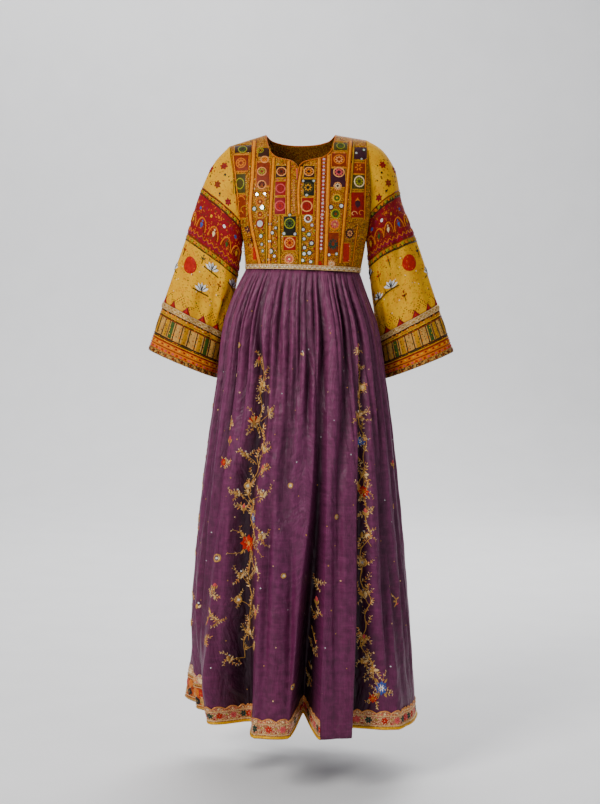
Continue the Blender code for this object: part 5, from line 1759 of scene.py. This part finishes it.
def figure(work, metal, glass, angle, share, kind, size):
    """One motif of the skirt's scattered embroidery."""
    here = (angle, share)
    if kind == "leaf":
        lean = dice.uniform(-60, 60)
        for side in (-1, 1):
            work.stamp(LEAF, *work.off(*here, side * size * 0.34, 0), size * 0.26,
                       size * 0.62, lean - side * 24, "gold" if side < 0 else "pale_gold",
                       0.0012)
        glass.stamp(MIRROR, *work.off(*here, 0, size * 0.75), 0.0022, colour="silver",
                    high=0.0010)
    elif kind == "bud":
        work.stamp(LEAF, *work.off(*here, 0, size * 0.3), size * 0.40, size * 0.60, 0,
                   "pink", 0.0014)
        for side in (-1, 1):
            work.stamp(LEAF, *work.off(*here, side * size * 0.42, -size * 0.25),
                       size * 0.20, size * 0.55, -side * 28, "gold", 0.0012)
        metal.strip((angle, angle), (share, work.off(*here, 0, -size * 1.3)[1]), 0.0020,
                    "gold", 0.0010)
    elif kind == "ring":
        metal.stamp(RING, *here, size, colour="gold", high=0.0014)
        metal.stamp(DISC, *here, size * 0.66, colour="pale_gold", high=0.0012)
        glass.stamp(MIRROR, *here, size * 0.28, colour="silver", high=0.0006, lift=0.0012)
    elif kind == "fan":
        for k in range(7):
            turn = -66 + 22 * k
            work.stamp(LEAF, *work.aimed(*here, turn, size * 0.62), size * 0.15,
                       size * 0.42, turn, ("peach", "gold", "scarlet")[k % 3], 0.0012)
        metal.stamp(DISC, *here, size * 0.24, colour="gold", high=0.0015)
    elif kind in ("red", "blue"):
        petal, inner = (("scarlet", "orange") if kind == "red" else ("blue", "silver"))
        work.flower(*here, size, petal, "gold", 8)
        work.flower(*here, size * 0.55, inner, "gold", 6, 30)
        for turn in (35, 145, 215, 325):
            metal.stamp(LEAF, *work.aimed(*here, turn, size * 1.25), size * 0.16,
                        size * 0.38, turn, "gold", 0.0010)
    elif kind == "frond":
        cluster(work, metal, angle, share, size, 4)
    else:
        spray(work, metal, angle, share, size, angle)


def frond(work, metal, angle, share, long, heading, bend):
    """A curled stalk with small leaves on both sides and a bud at its tip."""
    scale_a, scale_d = SKIRT.scale(angle, share)
    t = np.linspace(0, 1, 8)
    course = np.radians(heading + bend * t)
    x = np.concatenate(((0,), np.cumsum(-np.sin(course[1:])))) * long / 7
    y = np.concatenate(((0,), np.cumsum(np.cos(course[1:])))) * long / 7
    metal.strip(angle + x / scale_a, share - y / scale_d, 0.0011, "gold", 0.0008, 0, 2)
    for k in range(1, 8, 2):
        for side in (-1, 1):
            size = 0.0034 * dice.uniform(0.7, 1.25) * (1.2 - 0.5 * t[k])
            turn = math.degrees(course[k]) + side * 48
            lean = math.radians(turn)
            metal.stamp(LEAF, *metal.off(angle, share, x[k] - math.sin(lean) * size,
                                         y[k] + math.cos(lean) * size), size * 0.34, size,
                        turn, dice.choice(FROND_COLOURS), 0.0011)
    if dice.random() < 0.3:
        work.stamp(DOT, *work.off(angle, share, x[-1], y[-1]), 0.0022,
                   colour=dice.choice(("scarlet", "pink", "cream", "blue")), high=0.0012)


def cluster(work, metal, angle, share, reach, fronds):
    """A loose bunch of fronds round a place."""
    for k in range(fronds):
        heading = 360 * (k + dice.uniform(-0.3, 0.3)) / fronds
        frond(work, metal, angle, share, reach * dice.uniform(0.9, 1.5), heading,
              dice.choice((-1, 1)) * dice.uniform(40, 110))


def vine(work, metal, glass, places):
    """A wandering, branching stem through its motifs, thick with small gold leaves."""
    order = sorted(places, key=lambda p: p[1])
    shares = np.array([p[1] for p in order])
    angles = np.array([p[0] for p in order], float)
    middle = np.convolve(np.pad(angles, 2, "edge"), np.ones(5) / 5, "valid")
    fine = np.linspace(shares[0], shares[-1], 260)
    path = smooth(fine, shares, middle) + 1.6 * np.sin(fine * 37) + 0.9 * np.sin(fine * 91)
    metal.strip(path, fine, 0.0017, "gold", 0.0010)
    for k in range(4, 254, 8):
        side = 1 if (k // 8) % 2 else -1
        frond(work, metal, path[k], fine[k], dice.uniform(0.014, 0.032),
              -side * dice.uniform(20, 80), side * dice.uniform(20, 100))
    for angle, share, kind, size in order:
        near = int(np.argmin(np.abs(fine - share)))
        metal.strip(np.linspace(path[near], angle, 8), np.linspace(
            fine[min(near + 8, len(fine) - 1)], share, 8), 0.0014, "gold", 0.0009)
        cluster(work, metal, angle, share, size * 1.7, 4 if size > 0.0115 else 3)
        figure(work, metal, glass, angle, share, kind, size)


def sequins(glass, metal):
    """Loose sequins all over the silk, in a sparse staggered scatter."""
    step = 24.0
    for row in range(19):
        share = 0.08 + row * 0.046
        for k in range(int(360 / step)):
            angle = LEFT_SEAM + (k + 0.5 * (row % 2) + dice.uniform(-0.32, 0.32)) * step
            if share > 0.9 and not -40 < angle < 28:
                continue
            place = share + dice.uniform(-0.016, 0.016)
            (glass if dice.random() < 0.25 else metal).stamp(
                DOT, angle, place, dice.uniform(0.0012, 0.0019),
                colour=dice.choice(("pale_gold", "gold", "gold")), high=0.0008)


def skirt_embroidery():
    work, metal, glass = (Needlework(SKIRT) for _ in range(3))
    vine(work, metal, glass, LEFT_VINE)
    vine(work, metal, glass, RIGHT_VINE)
    for angle, share, kind, size in LONE:
        figure(work, metal, glass, angle, share, kind, size)
    for centre, drift in BACK_VINES:
        places = [(centre + (angle + 30) * 0.9, share + drift, kind, size)
                  for angle, share, kind, size in LEFT_VINE if share < 0.84]
        vine(work, metal, glass, places)
    sequins(glass, metal)
    work.done("skirt_embroidery", THREAD, "plum_silk", LAID)
    metal.done("skirt_gold_thread", METAL_THREAD, "plum_silk", LAID)
    glass.done("skirt_sequins", GLASS, "plum_silk", LAID)


skirt_panels()
hem_trims()
back_border()
skirt_embroidery()


# ---- floor, light and camera --------------------------------------------------
def backdrop():
    """A pale floor which curves up into a pale wall behind the dress."""
    f = Finish("backdrop", 0.9)
    grain = f.noise(f.body(), 6, 2)
    material = f.done(f.ramp(grain, ((0.0, (0.80, 0.80, 0.81)), (1.0, (0.86, 0.86, 0.87)))))
    bm = bmesh.new()
    bmesh.ops.create_grid(bm, x_segments=2, y_segments=40, size=1.0)
    for vert in bm.verts:
        along = (vert.co.y + 1) / 2
        width = vert.co.x * BACKDROP_REACH
        if along < FLOOR_PART:
            floor = BACKDROP_REACH + WALL_Y - BEND
            vert.co = (width, -BACKDROP_REACH + along / FLOOR_PART * floor, FLOOR_Z)
        elif along < BEND_PART:
            turn = (along - FLOOR_PART) / (BEND_PART - FLOOR_PART) * math.pi / 2
            vert.co = (width, WALL_Y - BEND + BEND * math.sin(turn),
                       FLOOR_Z + BEND * (1 - math.cos(turn)))
        else:
            up = (along - BEND_PART) / (1 - BEND_PART)
            vert.co = (width, WALL_Y, FLOOR_Z + BEND + up * WALL_HEIGHT)
    link_mesh(bm, "backdrop", material)


def light(name, place, aim, size, power, colour):
    """A soft rectangular light that looks at a point."""
    lamp = bpy.data.lights.new(name, "AREA")
    lamp.shape = "RECTANGLE"
    lamp.size, lamp.size_y = size
    lamp.energy = power
    lamp.color = colour
    obj = bpy.data.objects.new(name, lamp)
    obj.location = place
    obj.rotation_euler = (mathutils.Vector(aim) - mathutils.Vector(place)).to_track_quat(
        "-Z", "Y").to_euler()
    bpy.context.scene.collection.objects.link(obj)


FLOOR_Z = -1.52
WALL_Y = 5.4
BEND = 1.5
BACKDROP_REACH = 9.0
WALL_HEIGHT = 7.0
FLOOR_PART, BEND_PART = 0.45, 0.6    # shares of the backdrop's length where each ends
# Lights: name, place, aim, size, power, colour.
LIGHTS = (
    ("key_light", (-2.3, -2.7, 1.5), (0, 0, -0.6), (1.3, 1.8), 165, (1.0, 0.98, 0.95)),
    ("fill_light", (2.6, -2.2, 0.4), (0, 0, -0.7), (1.6, 2.2), 16, (0.95, 0.97, 1.0)),
    ("wall_light", (-1.2, 2.6, 3.4), (0.2, 5.4, 0.4), (4.0, 1.4), 190, (1, 1, 1)),
    ("floor_light", (0.6, 2.0, 2.2), (0.0, 1.4, -1.5), (3.0, 1.6), 70, (1, 1, 1)),
    ("rear_light", (1.5, 3.1, 1.6), (0.0, 0.2, -0.6), (1.8, 1.8), 70, (1, 1, 1)))
WORLD_COLOUR = (0.92, 0.94, 1.0, 1)
WORLD_STRENGTH = 0.24
LENS = 67.8
CAMERA_PLACE = (-0.0024, -3.6, -0.305)
CAMERA_TILT = 5                      # degrees below level
backdrop()
for lamp in LIGHTS:
    light(*lamp)

world = bpy.data.worlds.new("studio")
world.use_nodes = True
world.node_tree.nodes["Background"].inputs[0].default_value = WORLD_COLOUR
world.node_tree.nodes["Background"].inputs[1].default_value = WORLD_STRENGTH
bpy.context.scene.world = world

lens = bpy.data.cameras.new("camera")
lens.sensor_fit = "VERTICAL"
lens.sensor_height = 36
lens.lens = LENS
camera = bpy.data.objects.new("camera", lens)
camera.location = CAMERA_PLACE
camera.rotation_euler = (math.radians(90 - CAMERA_TILT), 0, 0)
bpy.context.scene.collection.objects.link(camera)
bpy.context.scene.camera = camera
